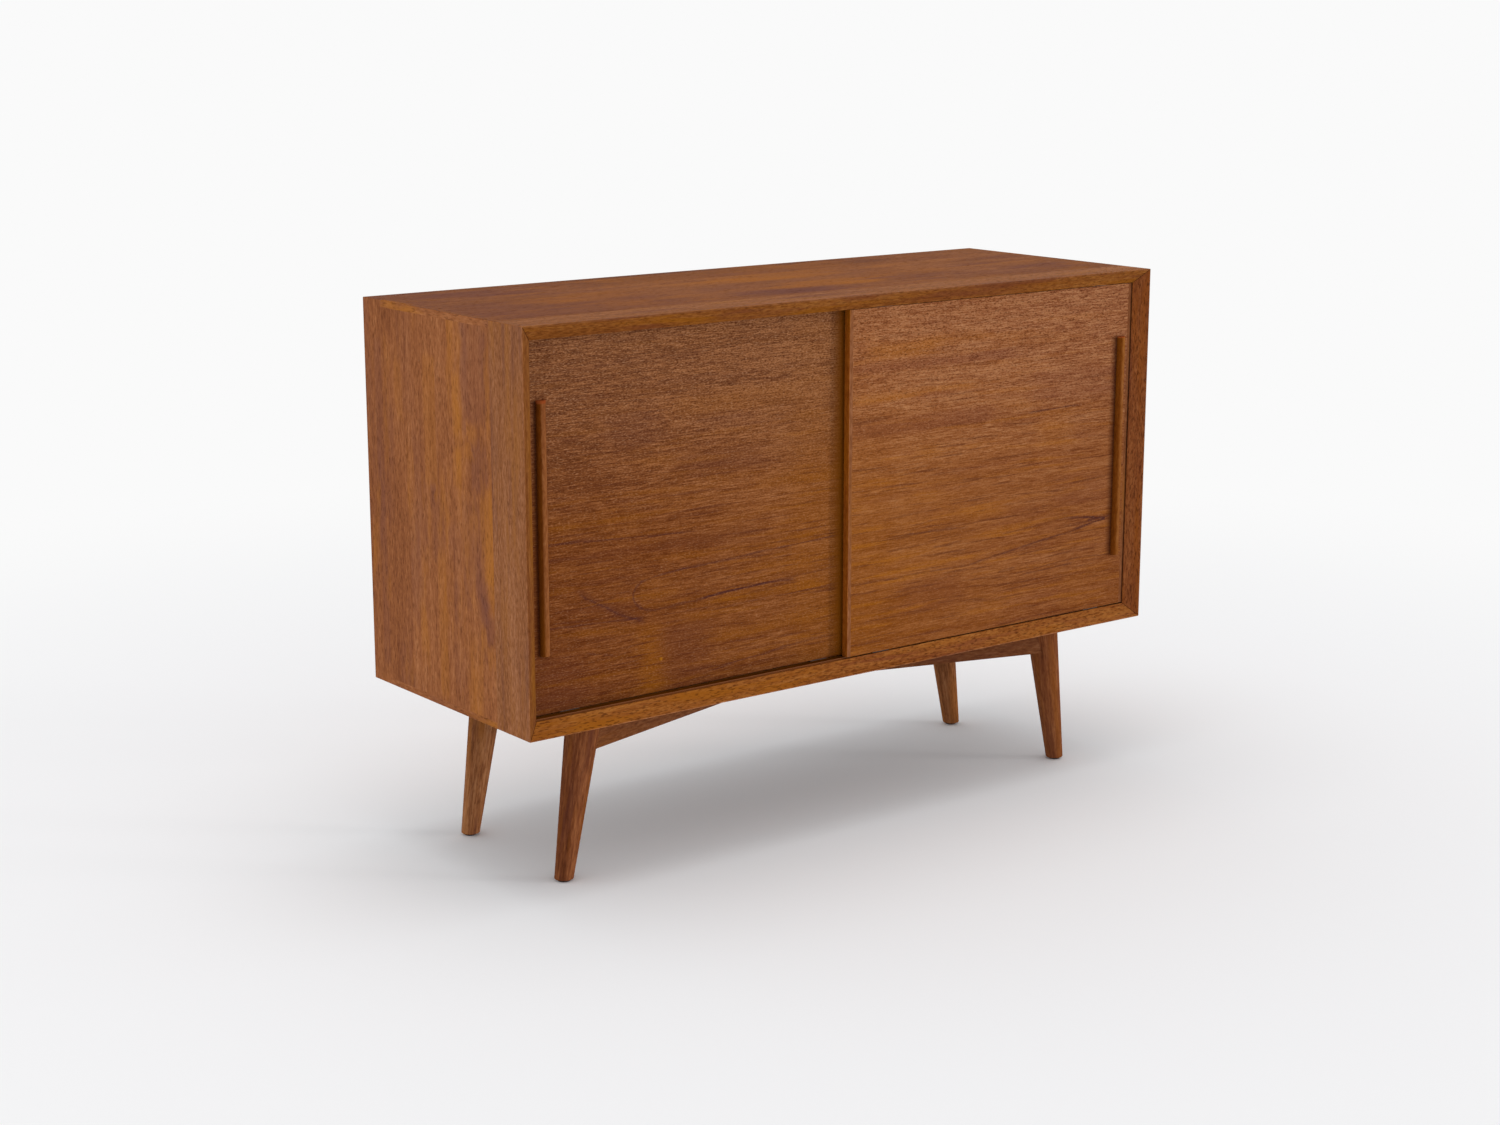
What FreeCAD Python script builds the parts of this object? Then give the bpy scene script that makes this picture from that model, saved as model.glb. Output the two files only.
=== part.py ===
import FreeCAD, Part
import os
import re

from FreeCAD import Placement, Rotation, Vector

# A low cabinet on splayed legs: a mitred case with two doors that slide past
# each other in grooves.  X runs to the right, the front faces -Y, Z is up and
# the origin lies on the floor under the middle of the case.  Millimetres.

SIZES = {
    # case
    "case_width": 1200,
    "case_depth": 434,
    "case_height": 578,
    "board": 22,              # thickness of the four outer panels
    "bevel_depth": 18,        # how far the front edge slopes back to the doors
    "level_front_lip": 68,    # solid wood along the front of the top and the bottom
    "side_front_lip": 85,     # solid wood along the front of the two sides
    "back_lip": 52,           # solid wood along the back of each panel
    "end_lip": 10,            # solid wood along each mitre
    "arris": 1.2,             # rounding of every outer edge
    # splines in the mitres
    "spline_thickness": 4,
    "spline_width": 12,
    "spline_stop": 12,
    "spline_offset": 16,      # from the outer corner, along both faces
    # back panel
    "back_thickness": 6,
    "rabbet_width": 10,
    "rabbet_length": 8,
    "back_clearance": 0.5,
    # sliding doors
    "door_thickness": 11,
    "door_face": 19,          # front door's face behind the case's front edge
    "door_spacing": 8.1,      # free space between the two doors
    "door_overlap": 30,
    "door_end_gap": 1,
    "door_foot_gap": 2,
    "door_head_gap": 1,
    "door_lip": 7,
    # tracks
    "track_width": 9,
    "track_wall": 1.2,
    "lower_track_depth": 7,
    "upper_track_depth": 13,
    # glides under a door and guides on top of it
    "glide_width": 6,
    "glide_length": 32,
    "glide_inset": 70,
    "glide_pin_radius": 2.5,
    "glide_pin_length": 14,   # in the door
    "glide_pin_root": 3,      # in the glide or guide
    "guide_rise": 9,          # how far a guide stands into its groove
    # pulls
    "pull_radius": 7.6,
    "pull_length": 362,
    "left_pull_inset": 28,    # from its door's outer end to its middle
    "right_pull_inset": 22,
    "pull_round": 1.5,
    "pull_screw_inset": 30,
    "pull_screw_grip": 4.6,   # length of screw in the pull
    # divider and shelves
    "divider_thickness": 18,
    "divider_gap": 4,         # behind the rear door
    "inner_lip": 6,
    "dowel_radius": 4,
    "dowel_length": 30,
    "dowel_depth": 12,        # in the top or bottom panel
    "shelf_thickness": 16,
    "shelf_level": 260,       # underside above the case's inner floor
    "shelf_setback": 12,      # behind the divider's front edge
    "shelf_end_gap": 1,
    "shelf_back_gap": 3,
    "peg_radius": 2.5,
    "peg_depth": 7,
    "peg_tongue": 10,
    "peg_tongue_width": 9,
    "peg_tongue_thickness": 2.5,
    "peg_inset": 25,          # from the lips at the front and back of a side
    "peg_pitch": 32,
    # legs
    "leg_length": 247,
    "leg_top_radius": 26.3,
    "leg_foot_radius": 13.9,
    "leg_top_inset": 145,
    "leg_foot_inset": 105,
    "leg_front_inset": 83,
    "leg_back_inset": 91,
    "foot_round": 1.5,
    "foot_pad_radius": 9,
    "foot_pad_thickness": 3,
    "foot_nail_radius": 1.25,
    "foot_nail_length": 14,
    # studs that hold the legs
    "stud_radius": 4,
    "stud_in_leg": 36,
    "stud_in_case": 13,
    "insert_radius": 6.5,
    "insert_length": 14,
    # crossed rails
    "rail_thickness": 34,
    "rail_height": 54,
    "rail_round": 1.5,
    "tenon_thickness": 12,
    "tenon_height": 34,
    "tenon_stop": 9,          # between the tenon's end and the stud's middle
    # screws and fits
    "screw_radius": 1.75,
    "screw_head_radius": 3.5,
    "screw_head_height": 2.6,
    "back_screw_length": 20,
    "back_screw_inset": 40,
    "rail_screw_radius": 2.5,
    "rail_screw_head_radius": 4.8,
    "rail_screw_length": 48,
    "rail_screw_sink": 20,
    "rail_screw_offset": 230,
    "fit": 0.05,              # radial play of pins and screws in their holes
    "joint_play": 0.1,        # play around tenons and splines
}

# Places that follow from the sizes, written once.
PLACES = {
    "front": "-case_depth / 2",
    "underside": "leg_length",
    "top_face": "(leg_length + case_height)",
    "middle_level": "(leg_length + case_height / 2)",
    "floor_inside": "(leg_length + board)",
    "ceiling_inside": "(leg_length + case_height - board)",
    "inner_width": "(case_width - 2 * board)",
    "inner_height": "(case_height - 2 * board)",
    "back_inside": "(case_depth / 2 - rabbet_length)",
    "widest_front_lip": "max(level_front_lip; side_front_lip)",
    "door_width": "((case_width - 2 * board + door_overlap) / 2)",
    "door_height": "(case_height - 2 * board - door_foot_gap - door_head_gap)",
    "door_pitch": "(door_thickness + door_spacing)",
    "door_foot": "(leg_length + board + door_foot_gap)",
    "door_head": "(leg_length + case_height - board - door_head_gap)",
    "divider_front": "(door_face + 2 * door_thickness + door_spacing + divider_gap - case_depth / 2)",
    "shelf_front": "(divider_front + shelf_setback)",
    "shelf_underside": "(leg_length + board + shelf_level)",
    "shelf_depth": "(back_inside - shelf_back_gap - shelf_front)",
    "bay_width": "((case_width - 2 * board - divider_thickness) / 2)",
    "leg_lean": "atan((leg_top_inset - leg_foot_inset) / leg_length)",
    "leg_front_y": "(leg_front_inset - case_depth / 2)",
    "leg_back_y": "(case_depth / 2 - leg_back_inset)",
    "leg_top_x": "(case_width / 2 - leg_top_inset)",
    "leg_foot_x": "(case_width / 2 - leg_foot_inset)",
    "rail_run": "(leg_back_y - leg_front_y)",
    "rail_turn": "atan(rail_run / (2 * leg_top_x))",
    "rail_length": "sqrt(pow(rail_run; 2) + pow(2 * leg_top_x; 2))",
}

WORD = re.compile(r"[a-z_]+[a-z]")
SIDES = {"left": -1, "right": 1}
ENDS = {"front": "leg_front_y", "back": "leg_back_y"}

doc = FreeCAD.newDocument("sliding_door_cabinet")
sheet = doc.addObject("Spreadsheet::Sheet", "sizes")
for row, (alias, value) in enumerate(SIZES.items(), start=1):
    sheet.set(f"A{row}", alias)
    sheet.set(f"B{row}", str(value))
    sheet.setAlias(f"B{row}", alias)
doc.recompute()

sub_parts = []


# ------------------------------------------------------------------ helpers

def formula(text):
    """Spell out the places in a formula and point each size at its cell."""
    while any(word in PLACES for word in WORD.findall(text)):
        text = WORD.sub(lambda found: PLACES.get(found.group(), found.group()), text)
    return WORD.sub(lambda found: "sizes." + found.group() if found.group() in SIZES else found.group(), text)


def bind(thing, **formulas):
    """Tie properties of an object to formulas; a double underscore stands for a dot."""
    for name, text in formulas.items():
        thing.setExpression(name.replace("__", "."), formula(str(text)))
    return thing


def stand(thing, x=0, y=0, z=0, turn=None):
    """Place an object by formulas, after a fixed turn."""
    if turn is not None:
        thing.Placement = Placement(Vector(), turn)
    return bind(thing, Placement__Base__x=x, Placement__Base__y=y, Placement__Base__z=z)


def block(name, size, corner, turn=None):
    box = doc.addObject("Part::Box", name)
    bind(box, Length=size[0], Width=size[1], Height=size[2])
    return stand(box, *corner, turn=turn)


def round_bar(name, radius, length, foot, turn=None):
    bar = doc.addObject("Part::Cylinder", name)
    bind(bar, Radius=radius, Height=length)
    return stand(bar, *foot, turn=turn)


def together(name, pieces):
    group = doc.addObject("Part::Compound", name)
    group.Links = pieces
    return group


def joined(name, pieces):
    whole = doc.addObject("Part::MultiFuse", name)
    whole.Shapes = pieces
    return whole


def cut(name, base, tool):
    rest = doc.addObject("Part::Cut", name)
    rest.Base = base
    rest.Tool = tool
    return rest


def overlap(name, base, tool):
    shared = doc.addObject("Part::Common", name)
    shared.Base = base
    shared.Tool = tool
    return shared


def size_of(alias):
    return float(sheet.get(alias))


def rounded(name, base, size, wanted):
    """Round the edges of a finished solid that a test picks out."""
    doc.recompute()
    radius = size_of(size)
    picked = [i for i, edge in enumerate(base.Shape.Edges, start=1) if wanted(edge)]
    fillet = doc.addObject("Part::Fillet", name)
    fillet.Base = base
    fillet.Edges = [(i, radius, radius) for i in picked]
    return fillet


def keep(label, thing):
    """Name a finished sub-part after its node."""
    thing.Label = label
    sub_parts.append(thing)
    return thing


def screw_form(name, place, turn, length, radius="screw_radius", head="screw_head_radius", play="0"):
    """A countersunk screw from its head's flat face along local +Z, or its hole when it has play."""
    shank = doc.addObject("Part::Cylinder", name + "_shank")
    bind(shank, Radius=f"{radius} + {play}", Height=f"{length} + {play}")
    cone = doc.addObject("Part::Cone", name + "_cone")
    bind(cone, Radius1=f"{head} + {play}", Radius2=f"{radius} + {play}", Height=f"screw_head_height + {play}")
    whole = joined(name, [shank, cone])
    return stand(whole, *place, turn=turn)


def screws(label, places, turn, length, **sizes):
    """A set of equal screws as one node, and the holes they sit in."""
    bodies = [screw_form(f"{label}_{i}", place, turn, length, **sizes) for i, place in enumerate(places)]
    holes = [
        screw_form(f"{label}_hole_{i}", place, turn, length, play="fit", **sizes)
        for i, place in enumerate(places)
    ]
    keep(label, together(label + "_set", bodies))
    return together(label + "_holes", holes)


EDGE_REACH = 0.5          # how far an edge may lie from the level it is looked for at
X_AXIS, Y_AXIS, Z_AXIS = Vector(1, 0, 0), Vector(0, 1, 0), Vector(0, 0, 1)
TO_FRONT = Rotation(Z_AXIS, Y_AXIS * -1)
TO_LEFT = Rotation(Z_AXIS, X_AXIS * -1)
TO_RIGHT = Rotation(Z_AXIS, X_AXIS)
SIDEWAYS = {"left": TO_LEFT, "right": TO_RIGHT}


# ------------------------------------------------------------------ case

# Each outer panel is drawn lying down: local X along it, Y from its outer face
# to its inner face, Z from front to back.
PANELS = {
    "top": ("case_width", (X_AXIS, Z_AXIS * -1), (0, "front", "top_face")),
    "bottom": ("case_width", (X_AXIS * -1, Z_AXIS), (0, "front", "underside")),
    "left_side": ("case_height", (Z_AXIS, X_AXIS), ("-case_width / 2", "front", "middle_level")),
    "right_side": ("case_height", (Z_AXIS * -1, X_AXIS * -1), ("case_width / 2", "front", "middle_level")),
}
FRONT_LIPS = {
    "top": "level_front_lip",
    "bottom": "level_front_lip",
    "left_side": "side_front_lip",
    "right_side": "side_front_lip",
}


def slab(name, panel, ends, inner_ends, depth, inner_front=None):
    """A board with bevelled ends: X and Z limits on its outer face, then on its inner face."""
    length, (along, inward), corner = PANELS[panel]
    wedge = doc.addObject("Part::Wedge", name)
    low, high = (end.replace("length", length) for end in ends)
    inner_low, inner_high = (end.replace("length", length) for end in inner_ends)
    bind(wedge, Xmin=low, Xmax=high, X2min=inner_low, X2max=inner_high)
    bind(wedge, Ymin=0, Ymax="board")
    bind(wedge, Zmin=depth[0], Zmax=depth[1], Z2min=inner_front or depth[0], Z2max=depth[1])
    return stand(wedge, *corner, turn=Rotation(along, inward, Y_AXIS, "XYZ"))


def build_case_form():
    """The case's outer shape with every edge rounded; it trims all outer pieces alike."""
    size = ("case_width", "case_depth", "case_height")
    raw = block("case_block", size, ("-case_width / 2", "front", "underside"))
    return rounded("case_form", raw, "arris", lambda edge: True)


def track_grooves():
    """Grooves for the tracks and the tracks themselves: front and rear, below and above."""
    grooves = {"bottom": [], "top": []}
    for row, name in enumerate(("front", "rear")):
        middle = f"front + door_face + door_thickness / 2 + {row} * door_pitch"
        for panel, depth in (("bottom", "lower_track_depth"), ("top", "upper_track_depth")):
            low = f"floor_inside - {depth}" if panel == "bottom" else "ceiling_inside"
            corner = ("-inner_width / 2", f"{middle} - track_width / 2", low)
            size = ("inner_width", "track_width", depth)
            grooves[panel].append(block(f"{panel}_{name}_groove", size, corner))
            channel_low = f"{low} + track_wall" if panel == "bottom" else low
            channel = block(
                f"{panel}_{name}_channel",
                ("inner_width", "track_width - 2 * track_wall", f"{depth} - track_wall"),
                ("-inner_width / 2", f"{middle} - track_width / 2 + track_wall", channel_low),
            )
            body = block(f"{panel}_{name}_strip", size, corner)
            keep(f"{panel}_{name}_track", cut(f"{panel}_{name}_u", body, channel))
    return {panel: together(f"{panel}_grooves", pair) for panel, pair in grooves.items()}


def build_splines():
    """Loose tongues across the four mitres, and the slots for them."""
    splines, slots = [], []
    for side, sign in SIDES.items():
        for panel, up in (("bottom", 1), ("top", -1)):
            angle = -45 * sign * up
            middle_x = f"{sign} * (case_width / 2 - spline_offset)"
            middle_z = "underside + spline_offset" if up > 0 else "top_face - spline_offset"
            for name, play, made in (("spline", "0", splines), ("slot", "joint_play", slots)):
                wide, thick = f"(spline_width + 2 * {play})", f"(spline_thickness + 2 * {play})"
                tongue = block(
                    f"{side}_{panel}_{name}",
                    (wide, f"case_depth - widest_front_lip - back_lip - 2 * spline_stop + 2 * {play}", thick),
                    (
                        f"{middle_x} - {wide} / 2 * cos({angle}) - {thick} / 2 * sin({angle})",
                        f"front + widest_front_lip + spline_stop - {play}",
                        f"{middle_z} + {wide} / 2 * sin({angle}) - {thick} / 2 * cos({angle})",
                    ),
                    turn=Rotation(Y_AXIS, angle),
                )
                made.append(tongue)
    keep("mitre_splines", together("mitre_spline_set", splines))
    return together("mitre_slots", slots)


def back_screw_places():
    """Screws around the back panel: along the top and bottom, then up the sides."""
    across = [f"({i} / 4) * (inner_width / 2 - back_screw_inset)" for i in (-4, -2, 0, 2, 4)]
    edge = "(rabbet_width / 2)"
    rear = "back_inside + back_thickness"
    places = [(x, rear, f"ceiling_inside + {edge}") for x in across]
    places += [(x, rear, f"floor_inside - {edge}") for x in across]
    for sign in SIDES.values():
        for share in (-1, 0, 1):
            z = f"middle_level + {share} * (inner_height / 2 - back_screw_inset)"
            places.append((f"{sign} * (inner_width / 2 + {edge})", rear, z))
    return places


def build_back():
    """The back panel in its rabbet, with its screws; gives the rabbet and the screw holes."""
    def filling(name, thickness, clearance):
        border = f"(rabbet_width - {clearance})"
        size = (f"inner_width + 2 * {border}", thickness, f"inner_height + 2 * {border}")
        return block(name, size, (f"-inner_width / 2 - {border}", "back_inside", f"floor_inside - {border}"))

    rabbet = filling("rabbet", "rabbet_length", "0")
    sheet_of_ply = filling("back_sheet", "back_thickness", "back_clearance")
    holes = screws("back_panel_screws", back_screw_places(), TO_FRONT, "back_screw_length")
    keep("back_panel", cut("back_drilled", sheet_of_ply, holes))
    return together("rabbet_and_holes", [rabbet, holes])


def dowels(name, play="0"):
    """Dowels between the divider and the top and bottom panels."""
    made = []
    starts = {"lower": "floor_inside - dowel_depth", "upper": "ceiling_inside + dowel_depth - dowel_length"}
    for end, start in starts.items():
        for i in (-1, 0, 1):
            y = f"{i} * (case_depth / 2 - level_front_lip - back_lip) / 2"
            place = (0, y, f"{start} - {play}")
            length = f"dowel_length + 2 * {play}"
            made.append(round_bar(f"{name}_{end}_{i + 1}", f"dowel_radius + {play}", length, place))
    return together(name, made)


def peg_rows(name, faces):
    """Rows of peg holes in the faces given as (x, direction they are drilled)."""
    made = []
    for face, (x, direction) in enumerate(faces):
        for column, y in enumerate(peg_columns()):
            for step in (-2, -1, 0, 1, 2):
                z = f"{peg_height()} + {step} * peg_pitch"
                hole = f"{name}_{face}_{column}_{step + 2}"
                turn = SIDEWAYS[direction]
                made.append(round_bar(hole, "peg_radius + fit", "peg_depth + fit", (x, y, z), turn))
    return together(name, made)


def peg_columns():
    return ("front + side_front_lip + peg_inset", "case_depth / 2 - back_lip - peg_inset")


def peg_height():
    """Middle of the pegs that carry a shelf."""
    return "(shelf_underside - peg_radius)"


def leg_places():
    for end, y in ENDS.items():
        for side, sign in SIDES.items():
            yield f"{end}_{side}", sign, y


def build_studs():
    """Threaded studs in the legs and the inserts they screw into; gives their holes."""
    studs, inserts, stud_holes, insert_holes = [], [], [], []
    length = "(stud_in_leg + stud_in_case)"
    for name, sign, y in leg_places():
        x = f"{sign} * leg_top_x"
        low = "underside - stud_in_leg"
        top = (x, y, "underside")
        studs.append(round_bar(f"{name}_stud", "stud_radius", length, (x, y, low)))
        bottom = (x, y, f"{low} - fit")
        hole = round_bar(f"{name}_stud_hole", "stud_radius + fit", f"{length} + 2 * fit", bottom)
        stud_holes.append(hole)
        sleeve = round_bar(f"{name}_sleeve", "insert_radius", "insert_length", top)
        inserts.append(cut(f"{name}_insert", sleeve, hole))
        seat = round_bar(f"{name}_insert_hole", "insert_radius + fit", "insert_length + fit", top)
        insert_holes.append(seat)
    keep("leg_studs", together("leg_stud_set", studs))
    keep("leg_inserts", together("leg_insert_set", inserts))
    return together("stud_holes", stud_holes), together("insert_holes", insert_holes)


def rail_screw_places():
    """Screws sunk into the rails from below, equally far from the crossing on every arm."""
    middle = "(leg_front_y + leg_back_y) / 2"
    for sign in SIDES.values():
        for way in SIDES.values():
            x = f"{sign} * rail_screw_offset * cos(rail_turn)"
            y = f"{middle} + {way} * rail_screw_offset * sin(rail_turn)"
            yield (x, y, "underside - rail_height + rail_screw_sink")


def build_outer_panels(case_form, grooves, mitre_slots, back_cuts, bottom_holes):
    """Core, front lip, back lip and two mitre lips for each of the four panels."""
    full = ("-(length) / 2", "(length) / 2")
    full_inside = ("-(length) / 2 + board", "(length) / 2 - board")
    at_back = ("case_depth - back_lip", "case_depth")
    dowel_holes = dowels("dowel_holes", "fit")
    peg_holes = {
        "left_side": peg_rows("left_side_holes", [("-inner_width / 2", "left")]),
        "right_side": peg_rows("right_side_holes", [("inner_width / 2", "right")]),
    }
    bottom_cuts = together("bottom_cuts", [dowel_holes, bottom_holes])
    core_cuts = {"top": dowel_holes, "bottom": bottom_cuts, **peg_holes}
    lip_cuts = {"top": grooves["top"], "bottom": together("bottom_lip_cuts", [grooves["bottom"], bottom_holes])}
    for panel in PANELS:
        lip = FRONT_LIPS[panel]
        behind_lip = (lip, "case_depth - back_lip")
        core = slab(
            f"{panel}_core_board",
            panel,
            ("-(length) / 2 + end_lip", "(length) / 2 - end_lip"),
            ("-(length) / 2 + end_lip + board", "(length) / 2 - end_lip - board"),
            behind_lip,
        )
        core = overlap(f"{panel}_core_trimmed", core, case_form)
        keep(f"{panel}_panel", cut(f"{panel}_core", core, core_cuts[panel]))

        front_lip = slab(f"{panel}_front_board", panel, full, full_inside, ("0", lip), "bevel_depth")
        front_lip = overlap(f"{panel}_front_trimmed", front_lip, case_form)
        if panel in lip_cuts:
            front_lip = cut(f"{panel}_front_grooved", front_lip, lip_cuts[panel])
        keep(f"{panel}_front_lip", front_lip)

        back_lip = slab(f"{panel}_back_board", panel, full, full_inside, at_back)
        back_lip = overlap(f"{panel}_back_trimmed", back_lip, case_form)
        keep(f"{panel}_back_lip", cut(f"{panel}_back_rabbeted", back_lip, back_cuts))

        ends = [
            slab(
                f"{panel}_low_end",
                panel,
                ("-(length) / 2", "-(length) / 2 + end_lip"),
                ("-(length) / 2 + board", "-(length) / 2 + board + end_lip"),
                behind_lip,
            ),
            slab(
                f"{panel}_high_end",
                panel,
                ("(length) / 2 - end_lip", "(length) / 2"),
                ("(length) / 2 - end_lip - board", "(length) / 2 - board"),
                behind_lip,
            ),
        ]
        trimmed = [overlap(f"{end.Name}_trimmed", end, case_form) for end in ends]
        slotted = [cut(f"{end.Name}_slotted", end, mitre_slots) for end in trimmed]
        keep(f"{panel}_mitre_lips", together(f"{panel}_mitre_lip_pair", slotted))


# ------------------------------------------------------------------ inside

def build_divider():
    """The upright between the two bays, its front lip and its dowels."""
    left = "-divider_thickness / 2"
    board = block(
        "divider_board",
        ("divider_thickness", "back_inside - divider_front - inner_lip", "inner_height"),
        (left, "divider_front + inner_lip", "floor_inside"),
    )
    holes = peg_rows("divider_holes", [(left, "right"), ("divider_thickness / 2", "left")])
    cuts = together("divider_cuts", [dowels("divider_dowel_holes", "fit"), holes])
    keep("divider", cut("divider_drilled", board, cuts))
    edge = ("divider_thickness", "inner_lip", "inner_height")
    keep("divider_lip", block("divider_edge", edge, (left, "divider_front", "floor_inside")))
    keep("divider_dowels", dowels("divider_dowel_set"))


def build_shelf(side, sign):
    """One adjustable shelf on four pegs."""
    middle = f"{sign} * (divider_thickness / 2 + bay_width / 2)"
    length = "(bay_width - 2 * shelf_end_gap)"
    keep(
        f"{side}_shelf",
        block(
            f"{side}_shelf_board",
            (length, "shelf_depth - inner_lip", "shelf_thickness"),
            (f"{middle} - {length} / 2", "shelf_front + inner_lip", "shelf_underside"),
        ),
    )
    keep(
        f"{side}_shelf_lip",
        block(
            f"{side}_shelf_edge",
            (length, "inner_lip", "shelf_thickness"),
            (f"{middle} - {length} / 2", "shelf_front", "shelf_underside"),
        ),
    )
    pegs = []
    for end, way in SIDES.items():
        for column, y in enumerate(peg_columns()):
            face = f"{middle} + {way} * bay_width / 2"
            start = (f"{face} + {way} * peg_depth", y, peg_height())
            inward = SIDEWAYS["left" if way > 0 else "right"]
            name = f"{side}_{end}_peg_{column}"
            pin = round_bar(f"{name}_pin", "peg_radius", "peg_depth + peg_tongue / 2", start, inward)
            tongue_x = f"{face} - peg_tongue" if way > 0 else face
            corner = (tongue_x, f"{y} - peg_tongue_width / 2", "shelf_underside - peg_tongue_thickness")
            size = ("peg_tongue", "peg_tongue_width", "peg_tongue_thickness")
            pegs.append(joined(name, [pin, block(f"{name}_tongue", size, corner)]))
    keep(f"{side}_shelf_pegs", together(f"{side}_peg_set", pegs))


# ------------------------------------------------------------------ doors

def half_round(name, place):
    """A half-round bar with softened ends, its flat side towards the back."""
    body = doc.addObject("PartDesign::Body", name)
    bar = body.newObject("PartDesign::AdditiveCylinder", name + "_bar")
    bind(bar, Radius="pull_radius", Height="pull_length")
    bar.Angle = 180
    doc.recompute()
    edges = enumerate(bar.Shape.Edges, start=1)
    ends = [f"Edge{i}" for i, edge in edges if edge.Curve.TypeId == "Part::GeomCircle"]
    softened = body.newObject("PartDesign::Fillet", name + "_soft")
    softened.Base = (bar, ends)
    bind(softened, Radius="pull_round")
    return stand(body, *place, turn=Rotation(Z_AXIS, 180))


def door_shoe(name, x, middle, foot, height, pin_low):
    """A slider with a pin that presses into the door's edge; the pin is rooted in the slider."""
    corner = (f"{x} - glide_length / 2", f"{middle} - glide_width / 2", foot)
    body = block(name + "_body", ("glide_length", "glide_width", height), corner)
    length = "glide_pin_length + glide_pin_root"
    pin = round_bar(name + "_pin", "glide_pin_radius", length, (x, middle, pin_low))
    return joined(name, [body, pin])


def build_door(side, sign, row):
    """A veneered door with lipped ends, a pull, glides below and guides above."""
    face = f"front + door_face + {row} * door_pitch"
    middle = f"({face} + door_thickness / 2)"
    outer = f"{sign} * (inner_width / 2 - door_end_gap)"
    inner = f"{sign} * (inner_width / 2 - door_end_gap - door_width)"
    low_x, high_x = (outer, inner) if sign < 0 else (inner, outer)

    pull_x = f"{sign} * (inner_width / 2 - door_end_gap - {side}_pull_inset)"
    pull_foot = "(middle_level - pull_length / 2)"
    pull = half_round(f"{side}_pull_bar", (pull_x, face, pull_foot))
    screw_z = (f"{pull_foot} + pull_screw_inset", f"{pull_foot} + pull_length - pull_screw_inset")
    places = [(pull_x, f"{face} + door_thickness", z) for z in screw_z]
    pull_holes = screws(f"{side}_pull_screws", places, TO_FRONT, "door_thickness + pull_screw_grip")
    keep(f"{side}_pull", cut(f"{side}_pull_drilled", pull, pull_holes))

    shoes_x = [f"({end} {way} glide_inset)" for end, way in ((low_x, "+"), (high_x, "-"))]
    track_floor = "(floor_inside - lower_track_depth + track_wall)"
    root = "door_foot - glide_pin_root"
    upper = "door_head - glide_pin_length"
    hole_size = ("glide_pin_radius + fit", "glide_pin_length + 2 * fit")
    drop, rise = f"door_foot - {track_floor}", "door_head_gap + guide_rise"
    glides, guides, pin_holes = [], [], []
    for i, x in enumerate(shoes_x):
        glides.append(door_shoe(f"{side}_glide_{i}", x, middle, track_floor, drop, root))
        guides.append(door_shoe(f"{side}_guide_{i}", x, middle, "door_head", rise, upper))
        for end, low in (("lower", "door_foot"), ("upper", upper)):
            pin_holes.append(round_bar(f"{side}_{end}_pin_hole_{i}", *hole_size, (x, middle, f"{low} - fit")))
    keep(f"{side}_door_glides", together(f"{side}_glide_pair", glides))
    keep(f"{side}_door_guides", together(f"{side}_guide_pair", guides))

    board = block(
        f"{side}_door_board",
        ("door_width - 2 * door_lip", "door_thickness", "door_height"),
        (f"{low_x} + door_lip", face, "door_foot"),
    )
    cuts = together(f"{side}_door_cuts", [pull_holes, *pin_holes])
    keep(f"{side}_door_panel", cut(f"{side}_door_drilled", board, cuts))
    lip = ("door_lip", "door_thickness", "door_height")
    edges = {"low": low_x, "high": f"{high_x} - door_lip"}
    for end, x in edges.items():
        place = "outer" if (end == "low") == (sign < 0) else "inner"
        keep(f"{side}_door_{place}_lip", block(f"{side}_door_{place}_strip", lip, (x, face, "door_foot")))


# ------------------------------------------------------------------ base

def leg_cone(name, sign, y, play="0"):
    """The leg's taper, leaning outwards and longer than the leg at both ends."""
    length = "(leg_length / cos(leg_lean))"
    slope = f"((leg_top_radius - leg_foot_radius) / {length})"
    overrun = "(leg_foot_radius)"
    cone = doc.addObject("Part::Cone", name)
    bind(
        cone,
        Radius1=f"leg_foot_radius - {slope} * {overrun} + {play}",
        Radius2=f"leg_top_radius + {slope} * {overrun} + {play}",
        Height=f"{length} + 2 * {overrun}",
    )
    foot_x = f"{sign} * (leg_foot_x + {overrun} * sin(leg_lean))"
    stand(cone, foot_x, y, f"-{overrun} * cos(leg_lean)", turn=Rotation(Y_AXIS * -sign, 1))
    return bind(cone, Placement__Rotation__Angle="leg_lean")


def rail_block(name, sign, size, along, up):
    """A block on the line from a front leg to the opposite back leg, from a distance along it."""
    thickness = size[1]
    x = f"{sign} * leg_top_x - {sign} * ({along}) * cos(rail_turn)"
    y = f"leg_front_y + ({along}) * sin(rail_turn)"
    half = f"({thickness}) / 2"
    box = block(name, size, (f"{x} + {half} * sin(rail_turn)", f"{y} + {sign} * {half} * cos(rail_turn)", up))
    box.Placement.Rotation = Rotation(Z_AXIS, 1)
    return bind(box, Placement__Rotation__Angle="rail_turn" if sign < 0 else "180 deg - rail_turn")


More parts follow.
